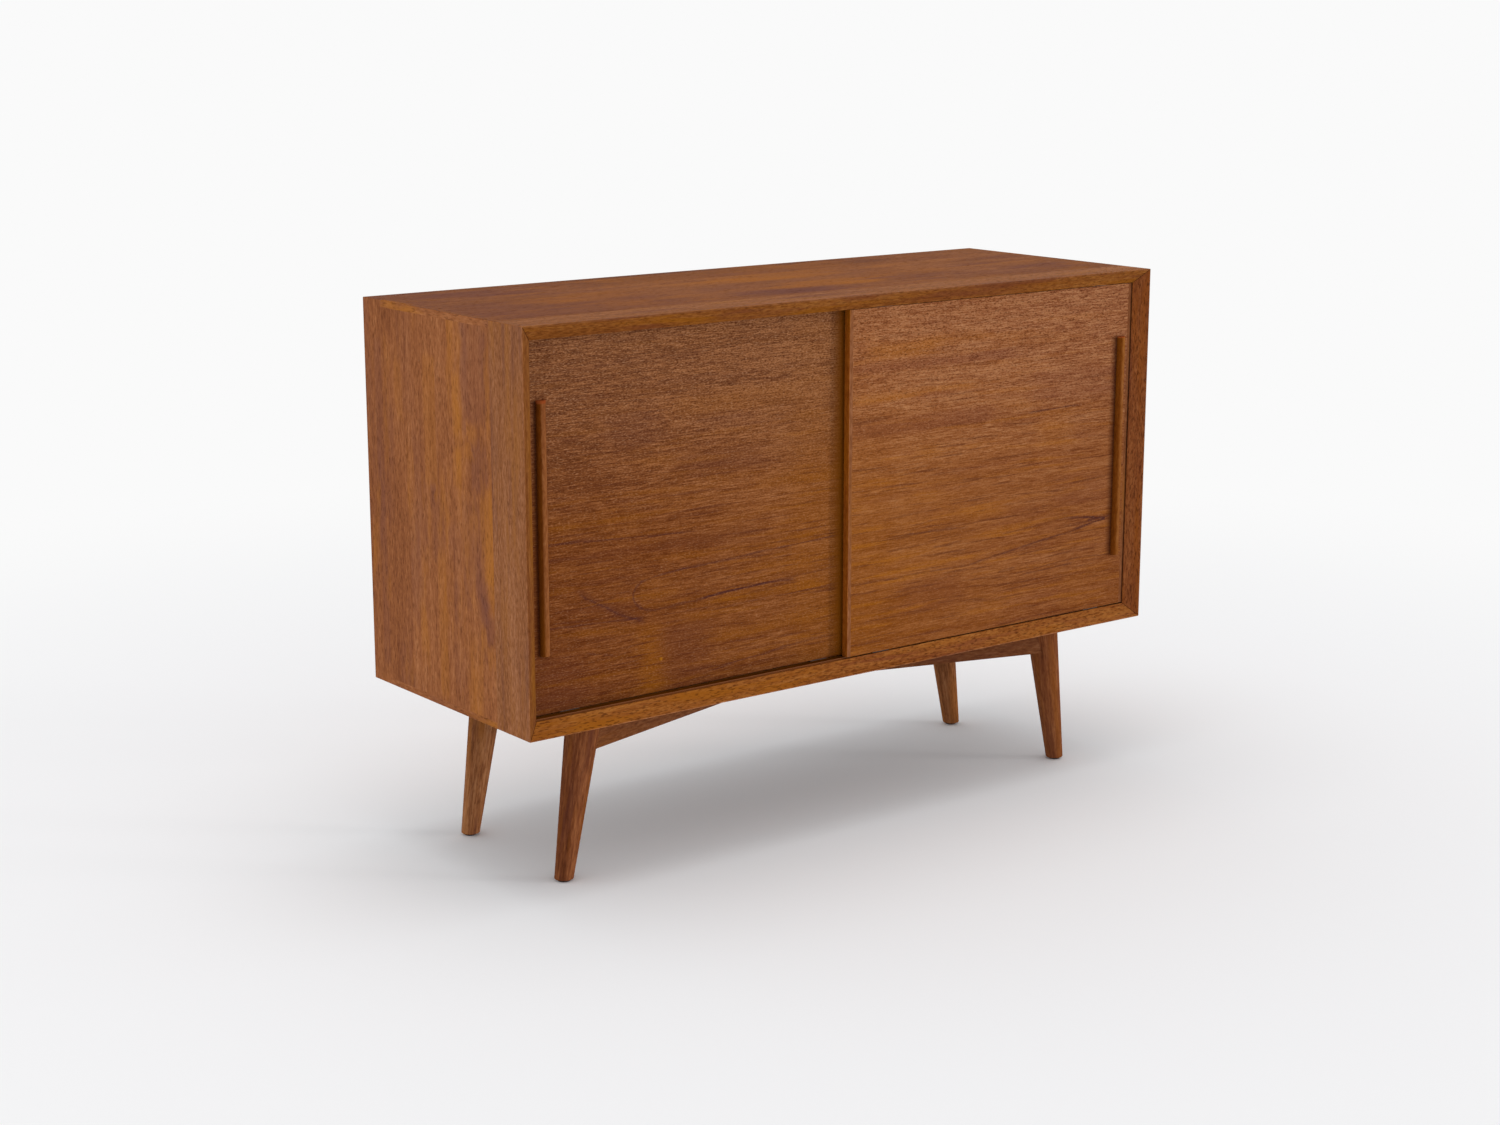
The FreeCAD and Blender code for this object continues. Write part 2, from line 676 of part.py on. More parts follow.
def build_rails(cones, screw_holes):
    """Two rails, halved into each other under the middle of the case; gives their mortises."""
    low = "underside - rail_height"
    tenon_low = "underside - rail_height / 2 - tenon_height / 2"
    mortises, raw, halves = [], {}, {}
    for side, sign in SIDES.items():
        size = ("rail_length", "rail_thickness", "rail_height")
        raw[side] = rail_block(f"{side}_rail_bar", sign, size, "0", low)
        # the left rail loses its upper half at the crossing, the right rail its lower half
        up = "underside - rail_height / 2" if side == "left" else low
        half = ("rail_length", "rail_thickness", "rail_height / 2")
        other = SIDES["right" if side == "left" else "left"]
        halves[side] = rail_block(f"{side}_rail_lap", other, half, "0", up)
    rail_foot = size_of("leg_length") - size_of("rail_height") + EDGE_REACH
    tenon_size = ("(rail_length - 2 * tenon_stop)", "tenon_thickness", "tenon_height")
    mortise_size = tuple(f"{size} + 2 * joint_play" for size in tenon_size)
    for side, sign in SIDES.items():
        bar = raw[side]
        eased = rounded(f"{side}_rail_eased", bar, "rail_round", lambda edge: edge.BoundBox.ZMax < rail_foot)
        cuts = together(f"{side}_rail_cuts", [halves[side], *cones.values()])
        body = cut(f"{side}_rail_shouldered", eased, cuts)
        tenon = rail_block(f"{side}_rail_tenon", sign, tenon_size, "tenon_stop", tenon_low)
        tenon = cut(f"{side}_tenon_lapped", tenon, halves[side])
        along = "tenon_stop - joint_play"
        mortises.append(rail_block(f"{side}_mortise", sign, mortise_size, along, f"{tenon_low} - joint_play"))
        rail = joined(f"{side}_rail_tenoned", [body, tenon])
        keep(f"{side}_rail", cut(f"{side}_rail_drilled", rail, screw_holes))
    return together("mortises", mortises)


def build_leg(name, sign, y, mortises, stud_holes):
    """A turned, tapered leg trimmed level at both ends, with a pad under its foot."""
    cone = leg_cone(f"{name}_taper", sign, y)
    reach = "leg_top_inset"
    trim = block(
        f"{name}_trim",
        (f"2 * {reach}", f"2 * {reach}", "leg_length - foot_pad_thickness"),
        (f"{sign} * leg_top_x - {reach}", f"{y} - {reach}", "foot_pad_thickness"),
    )
    level = overlap(f"{name}_level", cone, trim)
    foot = size_of("foot_pad_thickness")
    soft = rounded(f"{name}_soft", level, "foot_round", lambda edge: edge.BoundBox.ZMax < foot + EDGE_REACH)

    pad_x = f"{sign} * (leg_foot_x - foot_pad_thickness * tan(leg_lean))"
    root = (pad_x, y, "foot_pad_thickness / 2")
    pad = round_bar(f"{name}_pad", "foot_pad_radius", "foot_pad_thickness", (pad_x, y, 0))
    nail = round_bar(f"{name}_nail", "foot_nail_radius", "foot_nail_length", root)
    keep(f"{name}_foot_pad", joined(f"{name}_nailed_pad", [pad, nail]))
    nail_hole = round_bar(f"{name}_nail_hole", "foot_nail_radius + fit", "foot_nail_length + fit", root)
    cuts = together(f"{name}_cuts", [mortises, stud_holes, nail_hole])
    keep(f"{name}_leg", cut(f"{name}_leg_cut", soft, cuts))


# ------------------------------------------------------------------ assembly

def build_cabinet():
    case_form = build_case_form()
    grooves = track_grooves()
    mitre_slots = build_splines()
    back_cuts = build_back()
    stud_holes, insert_holes = build_studs()
    heads = list(rail_screw_places())
    screw = {"radius": "rail_screw_radius", "head": "rail_screw_head_radius"}
    rail_holes = screws("rail_screws", heads, Rotation(), "rail_screw_length", **screw)
    sink = ("rail_screw_head_radius + fit", "rail_screw_sink + fit")
    sinks = [
        round_bar(f"rail_sink_{i}", *sink, (x, y, f"{z} - rail_screw_sink"))
        for i, (x, y, z) in enumerate(heads)
    ]
    bottom_holes = together("bottom_holes", [insert_holes, rail_holes])
    build_outer_panels(case_form, grooves, mitre_slots, back_cuts, bottom_holes)
    build_divider()
    for side, sign in SIDES.items():
        build_shelf(side, sign)
    build_door("left", SIDES["left"], row=1)
    build_door("right", SIDES["right"], row=0)
    cones = {name: leg_cone(f"{name}_socket", sign, y, "joint_play") for name, sign, y in leg_places()}
    mortises = build_rails(cones, together("rail_drilling", [rail_holes, *sinks]))
    for name, sign, y in leg_places():
        build_leg(name, sign, y, mortises, stud_holes)


def export_parts():
    doc.recompute()
    broken = [thing.Name for thing in doc.Objects if {"Invalid", "Error"} & set(thing.State)]
    if broken:
        raise RuntimeError(f"these objects failed: {broken}")
    for thing in sub_parts:
        if thing.Shape.isNull() or not thing.Shape.isValid() or not thing.Shape.Solids:
            raise RuntimeError(f"{thing.Label} has no valid solid")
    os.makedirs("parts", exist_ok=True)
    for thing in sub_parts:
        thing.Shape.exportStep(f"parts/{thing.Label}.step")
    print(len(sub_parts), "sub-parts written")


build_cabinet()
export_parts()
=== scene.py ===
import math

import bmesh
import bpy
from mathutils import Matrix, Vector


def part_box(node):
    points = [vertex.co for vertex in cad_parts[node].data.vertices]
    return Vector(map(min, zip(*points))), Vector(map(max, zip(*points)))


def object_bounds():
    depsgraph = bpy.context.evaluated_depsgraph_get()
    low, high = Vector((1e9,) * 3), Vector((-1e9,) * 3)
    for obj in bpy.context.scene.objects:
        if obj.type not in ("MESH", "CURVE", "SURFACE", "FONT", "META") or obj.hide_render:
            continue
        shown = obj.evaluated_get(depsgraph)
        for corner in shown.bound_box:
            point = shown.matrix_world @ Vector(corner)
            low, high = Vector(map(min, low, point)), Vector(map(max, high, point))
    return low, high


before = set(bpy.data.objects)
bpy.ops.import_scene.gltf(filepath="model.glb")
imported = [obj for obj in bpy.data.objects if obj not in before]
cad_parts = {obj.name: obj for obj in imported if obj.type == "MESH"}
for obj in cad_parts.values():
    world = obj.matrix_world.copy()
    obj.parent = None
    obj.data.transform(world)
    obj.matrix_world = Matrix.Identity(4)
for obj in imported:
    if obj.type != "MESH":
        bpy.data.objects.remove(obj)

cad_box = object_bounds()

# A low teak cabinet with two sliding doors.  Metres; X to the right, the front
# faces -Y, Z up, the origin on the floor under the middle of the case.  Marks in
# the wood are placed in millimetres from the upper left corner of a face.

SIDES = {"left": -1, "right": 1}
PANELS = ("top", "bottom", "left_side", "right_side")
MILLIMETRE = 0.001


# ------------------------------------------------------------------ shader maths

MIX_SHARE, MIX_FIRST, MIX_SECOND, MIX_RESULT = 0, 6, 7, 2   # where a Mix node keeps its colours
STROKE_END = 0.12               # the share of a line's length over which each end fades
STROKE_CORE = 0.2               # the share of a line's width that has its full strength


def tone(red, green, blue):
    """A colour given in the 0 to 255 steps of a paint card, as the shader wants it."""
    def linear(step):
        share = step / 255
        return share / 12.92 if share <= 0.04045 else ((share + 0.055) / 1.055) ** 2.4
    return (linear(red), linear(green), linear(blue), 1.0)


class Value:
    """A number that varies over a surface; each operation on it adds a Math node."""

    def __init__(self, net, socket):
        self.net = net
        self.socket = socket

    def maths(self, operation, first, second):
        return self.net.node("ShaderNodeMath", {"operation": operation}, {0: first, 1: second})

    def __add__(self, other):
        return self.maths("ADD", self, other)

    def __sub__(self, other):
        return self.maths("SUBTRACT", self, other)

    def __rsub__(self, other):
        return self.maths("SUBTRACT", other, self)

    def __mul__(self, other):
        return self.maths("MULTIPLY", self, other)

    def __pow__(self, other):
        return self.maths("POWER", self, other)

    def __abs__(self):
        return self.maths("ABSOLUTE", self, 0.0)

    def least(self, other):
        return self.maths("MINIMUM", self, other)

    __radd__ = __add__
    __rmul__ = __mul__


class Net:
    """A tree of shader nodes."""

    def __init__(self, tree):
        self.tree = tree

    def node(self, kind, settings, inputs, output=0):
        """Add a node: its settings first, then the values or links of its sockets."""
        made = self.tree.nodes.new(kind)
        for name, setting in settings.items():
            if name == "stops":
                self.set_stops(made.color_ramp, setting)
            else:
                setattr(made, name, setting)
        for name, value in inputs.items():
            self.feed(made.inputs[name], value)
        return Value(self, made.outputs[output])

    def feed(self, socket, value):
        if isinstance(value, Value):
            self.tree.links.new(value.socket, socket)
        else:
            socket.default_value = value

    def set_stops(self, ramp, stops):
        while len(ramp.elements) < len(stops):
            ramp.elements.new(1.0)
        for element, (place, colour) in zip(ramp.elements, stops):
            element.position = place
            element.color = colour


class Finish(Net):
    """A material and the nodes that make it."""

    def __init__(self, name):
        self.material = bpy.data.materials.new(name)
        self.material.use_nodes = True
        super().__init__(self.material.node_tree)
        self.shader = self.tree.nodes["Principled BSDF"]

    def surface(self, **inputs):
        """Feed the shader: an underscore stands for a space in a socket's name."""
        for name, value in inputs.items():
            self.feed(self.shader.inputs[name.replace("_", " ")], value)
        return self.material

    # --- places on the piece

    def axes(self, turn=(0, 0, 0), centre=(0, 0, 0)):
        """The piece's own coordinates in metres, turned about a centre."""
        here = self.node("ShaderNodeTexCoord", {}, {}, "Object")
        if any(turn) or any(centre):
            moves = {"Vector": here, "Location": centre, "Rotation": turn}
            here = self.node("ShaderNodeMapping", {"vector_type": "TEXTURE"}, moves)
        return [self.node("ShaderNodeSeparateXYZ", {}, {"Vector": here}, axis) for axis in "XYZ"]

    def grain(self, along, shift=0.0, turn=(0, 0, 0)):
        """Coordinates along the grain and the two ways across it.

        A shift in metres takes the wood from another part of the log.
        """
        x, y, z = self.axes(turn, (shift, shift, shift))
        return {"x": (x, z, y), "y": (y, x, z), "z": (z, y, x)}[along]

    def face(self, corner):
        """Millimetres to the right of and below a face's corner, as seen from outside."""
        axes = dict(zip("xyz", self.axes()))
        return [(axes[axis] - start) * (way / MILLIMETRE) for axis, start, way in corner]

    # --- patterns

    def stretched(self, place, along, across):
        """A place with so many lumps to the metre along the grain and across it."""
        scaled = [value * scale for value, scale in zip(place, (along, across, across))]
        return self.node("ShaderNodeCombineXYZ", {}, dict(enumerate(scaled)))

    def cloud(self, place, pattern):
        """Noise from 0 to 1: its lumps to the metre along and across, its detail and its harshness."""
        along, across, detail, harshness = pattern
        sockets = {"Vector": self.stretched(place, along, across), "Scale": 1.0}
        sockets |= {"Detail": detail, "Roughness": harshness}
        return self.node("ShaderNodeTexNoise", {}, sockets)

    def sway(self, place, pattern):
        """The same noise about 0."""
        return self.cloud(place, pattern) - 0.5

    def cells(self, place, along, across):
        """A random share about 0 for each of the long cells that fill the wood."""
        sockets = {"Vector": self.stretched(place, along, across), "Scale": 1.0}
        colour = self.node("ShaderNodeTexVoronoi", {}, sockets, "Color")
        return self.node("ShaderNodeSeparateColor", {}, {"Color": colour}) - 0.5

    def rise(self, value, low, high):
        """0 below low, 1 above high and smooth between; low may be the larger one."""
        settings = {"interpolation_type": "SMOOTHSTEP"}
        limits = {"Value": value, "From Min": low, "From Max": high}
        return self.node("ShaderNodeMapRange", settings, limits)

    def flecks(self, place, pattern, push=None):
        """Flecks from 0 to 1: two more numbers of the pattern say which noise starts and fills them.

        The push is added to the noise.
        """
        *noise, low, high = pattern
        cloud = self.cloud(place, noise)
        return self.rise(cloud if push is None else cloud + push, low, high)

    def share(self, value, full):
        """A value's share of a full measure, held between 0 and 1."""
        return self.node("ShaderNodeMapRange", {}, {"Value": value, "From Min": 0.0, "From Max": full})

    def patch(self, place, edges, ease):
        """1 inside a box with eased edges: edges are left, right, top and bottom."""
        inside = 1.0
        for value, (near, far), soft in zip(place, (edges[:2], edges[2:]), ease):
            inside = self.rise(value, near - soft, near + soft) * inside
            inside = inside * self.rise(value, far + soft, far - soft)
        return inside

    def patches(self, place, marks, ease):
        """Boxes of different strengths added up: each mark is its four edges and its strength."""
        whole = 0.0
        for *edges, strength in marks:
            whole = self.patch(place, edges, ease) * strength + whole
        return whole

    def stroke(self, place, start, end, bow, width):
        """1 along a line that bows down in the middle and fades at its ends."""
        along, down = place
        way = (along - start[0]) * (1 / (end[0] - start[0]))
        line = way * (end[1] - start[1]) + way * (1.0 - way) * (4 * bow) + start[1]
        ends = self.rise(way, 0.0, STROKE_END) * self.rise(way, 1.0, 1.0 - STROKE_END)
        return self.rise(abs(down - line), width, width * STROKE_CORE) * ends

    def strokes(self, place, marks):
        """Lines added up: each mark is a start, an end, a bow, a width and a strength."""
        whole = 0.0
        for *line, strength in marks:
            whole = self.stroke(place, *line) * strength + whole
        return whole

    # --- colours and relief

    def tint(self, share, colours):
        """A colour from a row of (share, colour) stops."""
        return self.node("ShaderNodeValToRGB", {"stops": colours}, {"Fac": share})

    def mix(self, share, first, second):
        """The first colour where the share is 0, the second one where it is 1."""
        settings = {"data_type": "RGBA", "clamp_factor": True}
        sockets = {MIX_SHARE: share, MIX_FIRST: first, MIX_SECOND: second}
        return self.node("ShaderNodeMix", settings, sockets, MIX_RESULT)

    def bump(self, height, depth):
        """Relief of a depth in metres."""
        return self.node("ShaderNodeBump", {}, {"Height": height, "Distance": depth, "Strength": 1.0})


# ------------------------------------------------------------------ wood

# the dark, middle and pale steps of each stock of wood, then its golden and its plum parts
STOCKS = {
    "side": ((122, 70, 43), (157, 97, 59), (188, 125, 81), (182, 114, 44), (124, 77, 63)),
    "top": ((97, 52, 27), (122, 70, 35), (144, 89, 50), (144, 83, 22), (98, 54, 43)),
    "left_door": ((92, 44, 14), (124, 70, 33), (154, 98, 58), (140, 80, 16), (98, 51, 32)),
    "right_door": ((108, 54, 20), (142, 86, 47), (172, 118, 77), (160, 95, 22), (114, 63, 43)),
    "side_lip": ((121, 72, 40), (151, 96, 60), (178, 121, 84), (162, 103, 52), (126, 80, 60)),
    "top_lip": ((106, 61, 32), (134, 82, 46), (157, 102, 64), (146, 90, 40), (110, 64, 46)),
    "bevel": ((90, 45, 18), (119, 69, 32), (144, 92, 47), (136, 84, 26), (100, 54, 36)),
    "jamb": ((88, 42, 18), (131, 73, 38), (158, 97, 55), (144, 78, 26), (108, 56, 38)),
    "sill": ((92, 42, 14), (137, 79, 34), (164, 105, 51), (150, 87, 20), (116, 60, 38)),
    "lintel": ((92, 46, 14), (132, 77, 33), (158, 102, 48), (146, 87, 18), (110, 58, 38)),
    # painted shade for the ledge in front of the doors and for the recesses behind the bevels and by
    # the jamb
    "recess_shade": ((60, 29, 2), (83, 43, 3), (102, 57, 8), (95, 50, 4), (67, 32, 5)),
    "hollow_shade": ((58, 28, 12), (84, 46, 24), (106, 62, 36), (94, 54, 20), (68, 36, 24)),
    "door_lip": ((104, 58, 30), (129, 79, 48), (152, 100, 66), (142, 86, 38), (108, 64, 42)),
    # painted warm bounce light for the side of the right door's meeting edge
    "door_edge_bounce": ((114, 54, 14), (142, 76, 20), (166, 98, 32), (156, 92, 14), (116, 56, 20)),
    "left_pull": ((104, 54, 22), (132, 78, 41), (152, 98, 58), (138, 80, 30), (112, 60, 34)),
    "right_pull": ((108, 56, 16), (134, 80, 36), (154, 100, 56), (146, 88, 22), (114, 60, 26)),
    # painted shade for the flank of a pull that faces left
    "pull_flank_shade": ((88, 42, 8), (108, 54, 12), (124, 68, 20), (116, 62, 10), (92, 44, 14)),
    "pull_end": ((118, 54, 22), (144, 70, 32), (162, 86, 44), (150, 74, 28), (118, 54, 28)),
    "front_leg": ((74, 36, 18), (116, 65, 38), (148, 92, 56), (130, 74, 28), (90, 48, 36)),
    "back_leg": ((96, 54, 28), (144, 91, 56), (174, 120, 80), (158, 98, 46), (112, 68, 50)),
    "rail": ((84, 44, 26), (116, 70, 42), (140, 92, 62), (126, 74, 34), (96, 54, 40)),
}
PORE = tone(58, 22, 8)
DOOR_PORE = tone(64, 20, 2)
GLINT = tone(196, 148, 110)
RING = tone(80, 43, 36)
THREAD = tone(90, 46, 28)
GLUE = tone(48, 20, 8)
KNOT = tone(178, 114, 24)
UNDERSIDE_SHADE = tone(70, 44, 30)

# Each pattern in the wood: its lumps to the metre along the grain and across it, its detail
# and its harshness.  Flecks add which noise starts them and which noise fills them.
VENEER = {
    "drift": (3.0, 9.0, 2.0, 0.5),
    "streaks": (1.6, 40.0, 6.0, 0.76),
    "grain": (80.0, 280.0, 2.0, 0.7),
    "pores": (90.0, 380.0, 1.0, 0.5, 0.56, 0.70),
    "gold": (5.0, 24.0, 5.0, 0.6, 0.50, 0.70),
    "plum": (4.5, 20.0, 5.0, 0.6, 0.52, 0.70),
    "haze": (4.0, 12.0, 6.0, 0.66),
}
SOLID = {
    "drift": (4.0, 20.0, 2.0, 0.5),
    "broad": (2.4, 50.0, 5.0, 0.72),
    "fibre": (80.0, 300.0, 2.0, 0.7),
    "long_fibre": (26.0, 300.0, 2.0, 0.7),
    "pores": (110.0, 520.0, 1.0, 0.5, 0.54, 0.68),
    "gold": (6.0, 60.0, 4.0, 0.5, 0.48, 0.68),
    "plum": (5.0, 60.0, 4.0, 0.5, 0.52, 0.70),
}
DOOR = {
    "slow": (4.0, 14.0, 2.0, 0.5),
    "streaks": (1.8, 50.0, 6.0, 0.76),
    "grain": (36.0, 680.0, 3.0, 0.76),
    "speck": (260.0, 700.0, 1.0, 0.5),
    "thread": (9.0, 230.0, 3.0, 0.6, 0.54, 0.68),
    "gold": (5.0, 85.0, 4.0, 0.62, 0.50, 0.70),
    "plum": (4.0, 70.0, 4.0, 0.62, 0.52, 0.72),
}
VENEER_CELLS = (7.0, 34.0)      # long cells to the metre along the grain and across it
HAZE_GOLD = (0.50, 0.64)        # the haze on the top is golden where its noise is high
HAZE_PLUM = (0.48, 0.36)        # and plum where it is low
SPECK_PORE = (0.55, 0.68)       # the same for the pores of a door
SPECK_GLINT = (0.42, 0.30)      # and for the glints between them

# how far the grain wanders sideways, in metres
VENEER_WANDER = 0.012
SOLID_WANDER = 0.004
DOOR_WANDER = 0.014

# how strongly each of these shows
STREAK_STRENGTH = {"top": 1.7, "side": 1.3}
VENEER_PORE_STRENGTH = 0.33
DOOR_PORE_STRENGTH = 0.62
GLUE_STRENGTH = 0.75
SHADE_STRENGTH = 0.85
MEETING_SHADE_STRENGTH = 0.9

# the roughness of the oiled wood, and what pores, fibres and a dull place add to it
OIL_ROUGHNESS = 0.52
PORE_ROUGHNESS = 0.14
FIBRE_ROUGHNESS = 0.10
DULL_ROUGHNESS = 0.4
SHEEN = 0.006                   # only a trace of mirror shine, at a glancing angle
FIBRE_HEIGHT = 0.3              # as a share of the depth of a pore
PORE_DEPTH = 0.0001
DOOR_PORE_DEPTH = 0.00016

# the case: its outer faces, the bevel on its front and the glue line of its mitres
(CASE_LEFT, CASE_FRONT, _), (CASE_RIGHT, CASE_BACK, CASE_TOP) = cad_box
CASE_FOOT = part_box("bottom_front_lip")[0][2]
BEVEL_DEPTH = 0.018
EDGE = 0.0012                   # the eased outer edges
GLUE_LINE = 0.0011


def case_depths(finish):
    """How far in a point lies from the left or right face of the case, and from its top or bottom."""
    x, _, z = finish.axes()
    inward = (CASE_RIGHT - CASE_LEFT) / 2 - abs(x - (CASE_LEFT + CASE_RIGHT) / 2)
    upright = (CASE_TOP - CASE_FOOT) / 2 - abs(z - (CASE_TOP + CASE_FOOT) / 2)
    return inward, upright


def glued(finish, colour):
    """The dark line where two boards meet at a mitre, except along the very corner of the case."""
    inward, upright = case_depths(finish)
    line = finish.rise(abs(inward - upright), GLUE_LINE, GLUE_LINE * 0.3)
    line = line * finish.rise(inward + upright, EDGE * 2, EDGE * 4) * GLUE_STRENGTH
    return finish.mix(line, colour, GLUE)


def stain(finish, stock, brightness, gold, plum):
    """The wood's own colour: dark to pale by brightness, golden and plum where those are 1."""
    dark, middle, pale, heart, shade = (tone(*card) for card in STOCKS[stock])
    colour = finish.tint(brightness, [(0.0, dark), (0.5, middle), (1.0, pale)])
    colour = finish.mix(plum, colour, shade)
    return finish.mix(gold, colour, heart)


def oiled(finish, colour, pores, fibre, depth=PORE_DEPTH, dull=0.0):
    """Satin oil on open wood: rougher in its pores, which are sunk, and where dull is 1."""
    roughness = dull * DULL_ROUGHNESS + OIL_ROUGHNESS
    roughness = pores * PORE_ROUGHNESS + fibre * FIBRE_ROUGHNESS + roughness
    relief = finish.bump(fibre * FIBRE_HEIGHT - pores, depth)
    return finish.surface(
        Base_Color=colour, Roughness=roughness, Normal=relief, Specular_IOR_Level=SHEEN
    )


def veneer(name, along, stock, shift, corner=None, marks=None, mitred=True, shaded_underneath=False):
    """Sliced veneer in streaks and long stepped patches, some golden and some plum.

    A mitred panel shows its glue lines; one shaded underneath has painted shade on its underside.
    """
    finish = Finish(name)
    u, v, w = finish.grain(along, shift)
    v = v + finish.sway((u, v, w), VENEER["drift"]) * VENEER_WANDER
    place = (u, v, w)
    streaks = finish.sway(place, VENEER["streaks"])
    grain = finish.sway(place, VENEER["grain"])
    cells = finish.cells((u + grain * 0.05, v + grain * 0.004, w), *VENEER_CELLS)
    pores = finish.flecks(place, VENEER["pores"])
    brightness = streaks * STREAK_STRENGTH[stock] + cells * 0.14 + grain * 1.25 + 0.5
    gold = finish.flecks(place, VENEER["gold"], cells * 0.06) * 0.7
    plum = finish.flecks((u, w, v), VENEER["plum"], cells * 0.08) * 0.5
    if stock == "top":
        haze = finish.cloud(place, VENEER["haze"])
        gold = gold + finish.rise(haze, *HAZE_GOLD) * 0.5
        plum = plum + finish.rise(haze, *HAZE_PLUM) * 0.5
    if marks:
        across, down = finish.face(corner)
        if along == "z":
            ragged = (across + grain * 10.0 + streaks * 22.0, down + grain * 20.0 + cells * 40.0)
        else:
            ragged = (across + grain * 60.0 + cells * 90.0, down + streaks * 20.0)
        gold = gold * 0.6 + finish.patches(ragged, marks["gold"], marks["ease"])
        plum = plum * 0.6 + finish.patches(ragged, marks["plum"], marks["ease"])
        brightness = brightness + finish.patches(ragged, marks["light"], marks["ease"])
    colour = stain(finish, stock, brightness, gold, plum)
    colour = finish.mix(pores * VENEER_PORE_STRENGTH, colour, PORE)
    # painted shade on the underside
    if shaded_underneath:
        under = finish.rise(finish.axes()[2], CASE_FOOT + EDGE, CASE_FOOT + EDGE * 0.5)
        colour = finish.mix(under, colour, UNDERSIDE_SHADE)
    return oiled(finish, glued(finish, colour) if mitred else colour, pores, grain)


def solid_grain(finish, along, shift, turn=(0, 0, 0), liveliness=1.0, strand="fibre"):
    """The pores, the fibre and the three measures of colour of straight-grained wood."""
    u, v, w = finish.grain(along, shift, turn)
    v = v + finish.sway((u, v, w), SOLID["drift"]) * SOLID_WANDER
    place = (u, v, w)
    broad = finish.sway(place, SOLID["broad"])
    fibre = finish.sway(place, SOLID[strand])
    pores = finish.flecks(place, SOLID["pores"])
    brightness = broad * (1.2 * liveliness) + fibre * 1.6 + 0.55
    gold = finish.flecks(place, SOLID["gold"]) * 0.6
    plum = finish.flecks((u, w, v), SOLID["plum"]) * (0.6 * liveliness)
    return pores, fibre, (brightness, gold, plum)


def lipping(name, along, stock, shift, pore_strength, lift=0.0, edges=(), **habit):
    """Straight-grained solid wood with dark pores.

    The lift is added to the brightness of the whole piece.  An edge is an axis and the two
    places on it between which the stock turns into another one.  The habit is the turn of the
    grain, its liveliness and the pattern of its strands.
    """
    finish = Finish(name)
    pores, fibre, (brightness, gold, plum) = solid_grain(finish, along, shift, **habit)
    measures = (brightness + lift, gold, plum)
    colour = stain(finish, stock, *measures)
    places = dict(zip("xyz", finish.axes()))
    for axis, before, after, edge_stock in edges:
        cut = finish.rise(places[axis], before, after)
        colour = finish.mix(cut, colour, stain(finish, edge_stock, *measures))
    return oiled(finish, finish.mix(pores * pore_strength, colour, PORE), pores, fibre)


def case_lipping(name, along, stocks, shift, pore_strength, gains=(0.0, 0.0), rim=EDGE):
    """The solid front of the case: its stocks are those outside, on the bevel and behind the bevel,
    where the last one is painted shade.

    The gains are what the brightness and the gold gain from the left end to the right one; the
    rim is how far the outside stock reaches onto the bevel.
    """
    finish = Finish(name)
    pores, fibre, (brightness, gold, plum) = solid_grain(finish, along, shift)
    x, y, _ = finish.axes()
    way = (x - CASE_LEFT) * (1 / (CASE_RIGHT - CASE_LEFT)) - 0.5
    measures = (brightness + way * gains[0], gold + way * gains[1], plum)
    inward, upright = case_depths(finish)
    skin = inward.least(upright)
    outside, bevel, inside = (stain(finish, stock, *measures) for stock in stocks)
    colour = finish.mix(finish.rise(skin, rim * 0.5, rim * 1.5), outside, bevel)
    bevel_end = CASE_FRONT + BEVEL_DEPTH
    recess_shade = finish.rise(y, bevel_end - EDGE * 0.3, bevel_end + EDGE * 0.3)
    recess_shade = recess_shade * finish.rise(skin, EDGE, EDGE * 2)
    # painted shade behind the bevel
    colour = finish.mix(recess_shade, colour, inside)
    colour = finish.mix(pores * pore_strength, colour, PORE)
    return oiled(finish, glued(finish, colour), pores, fibre, dull=recess_shade)
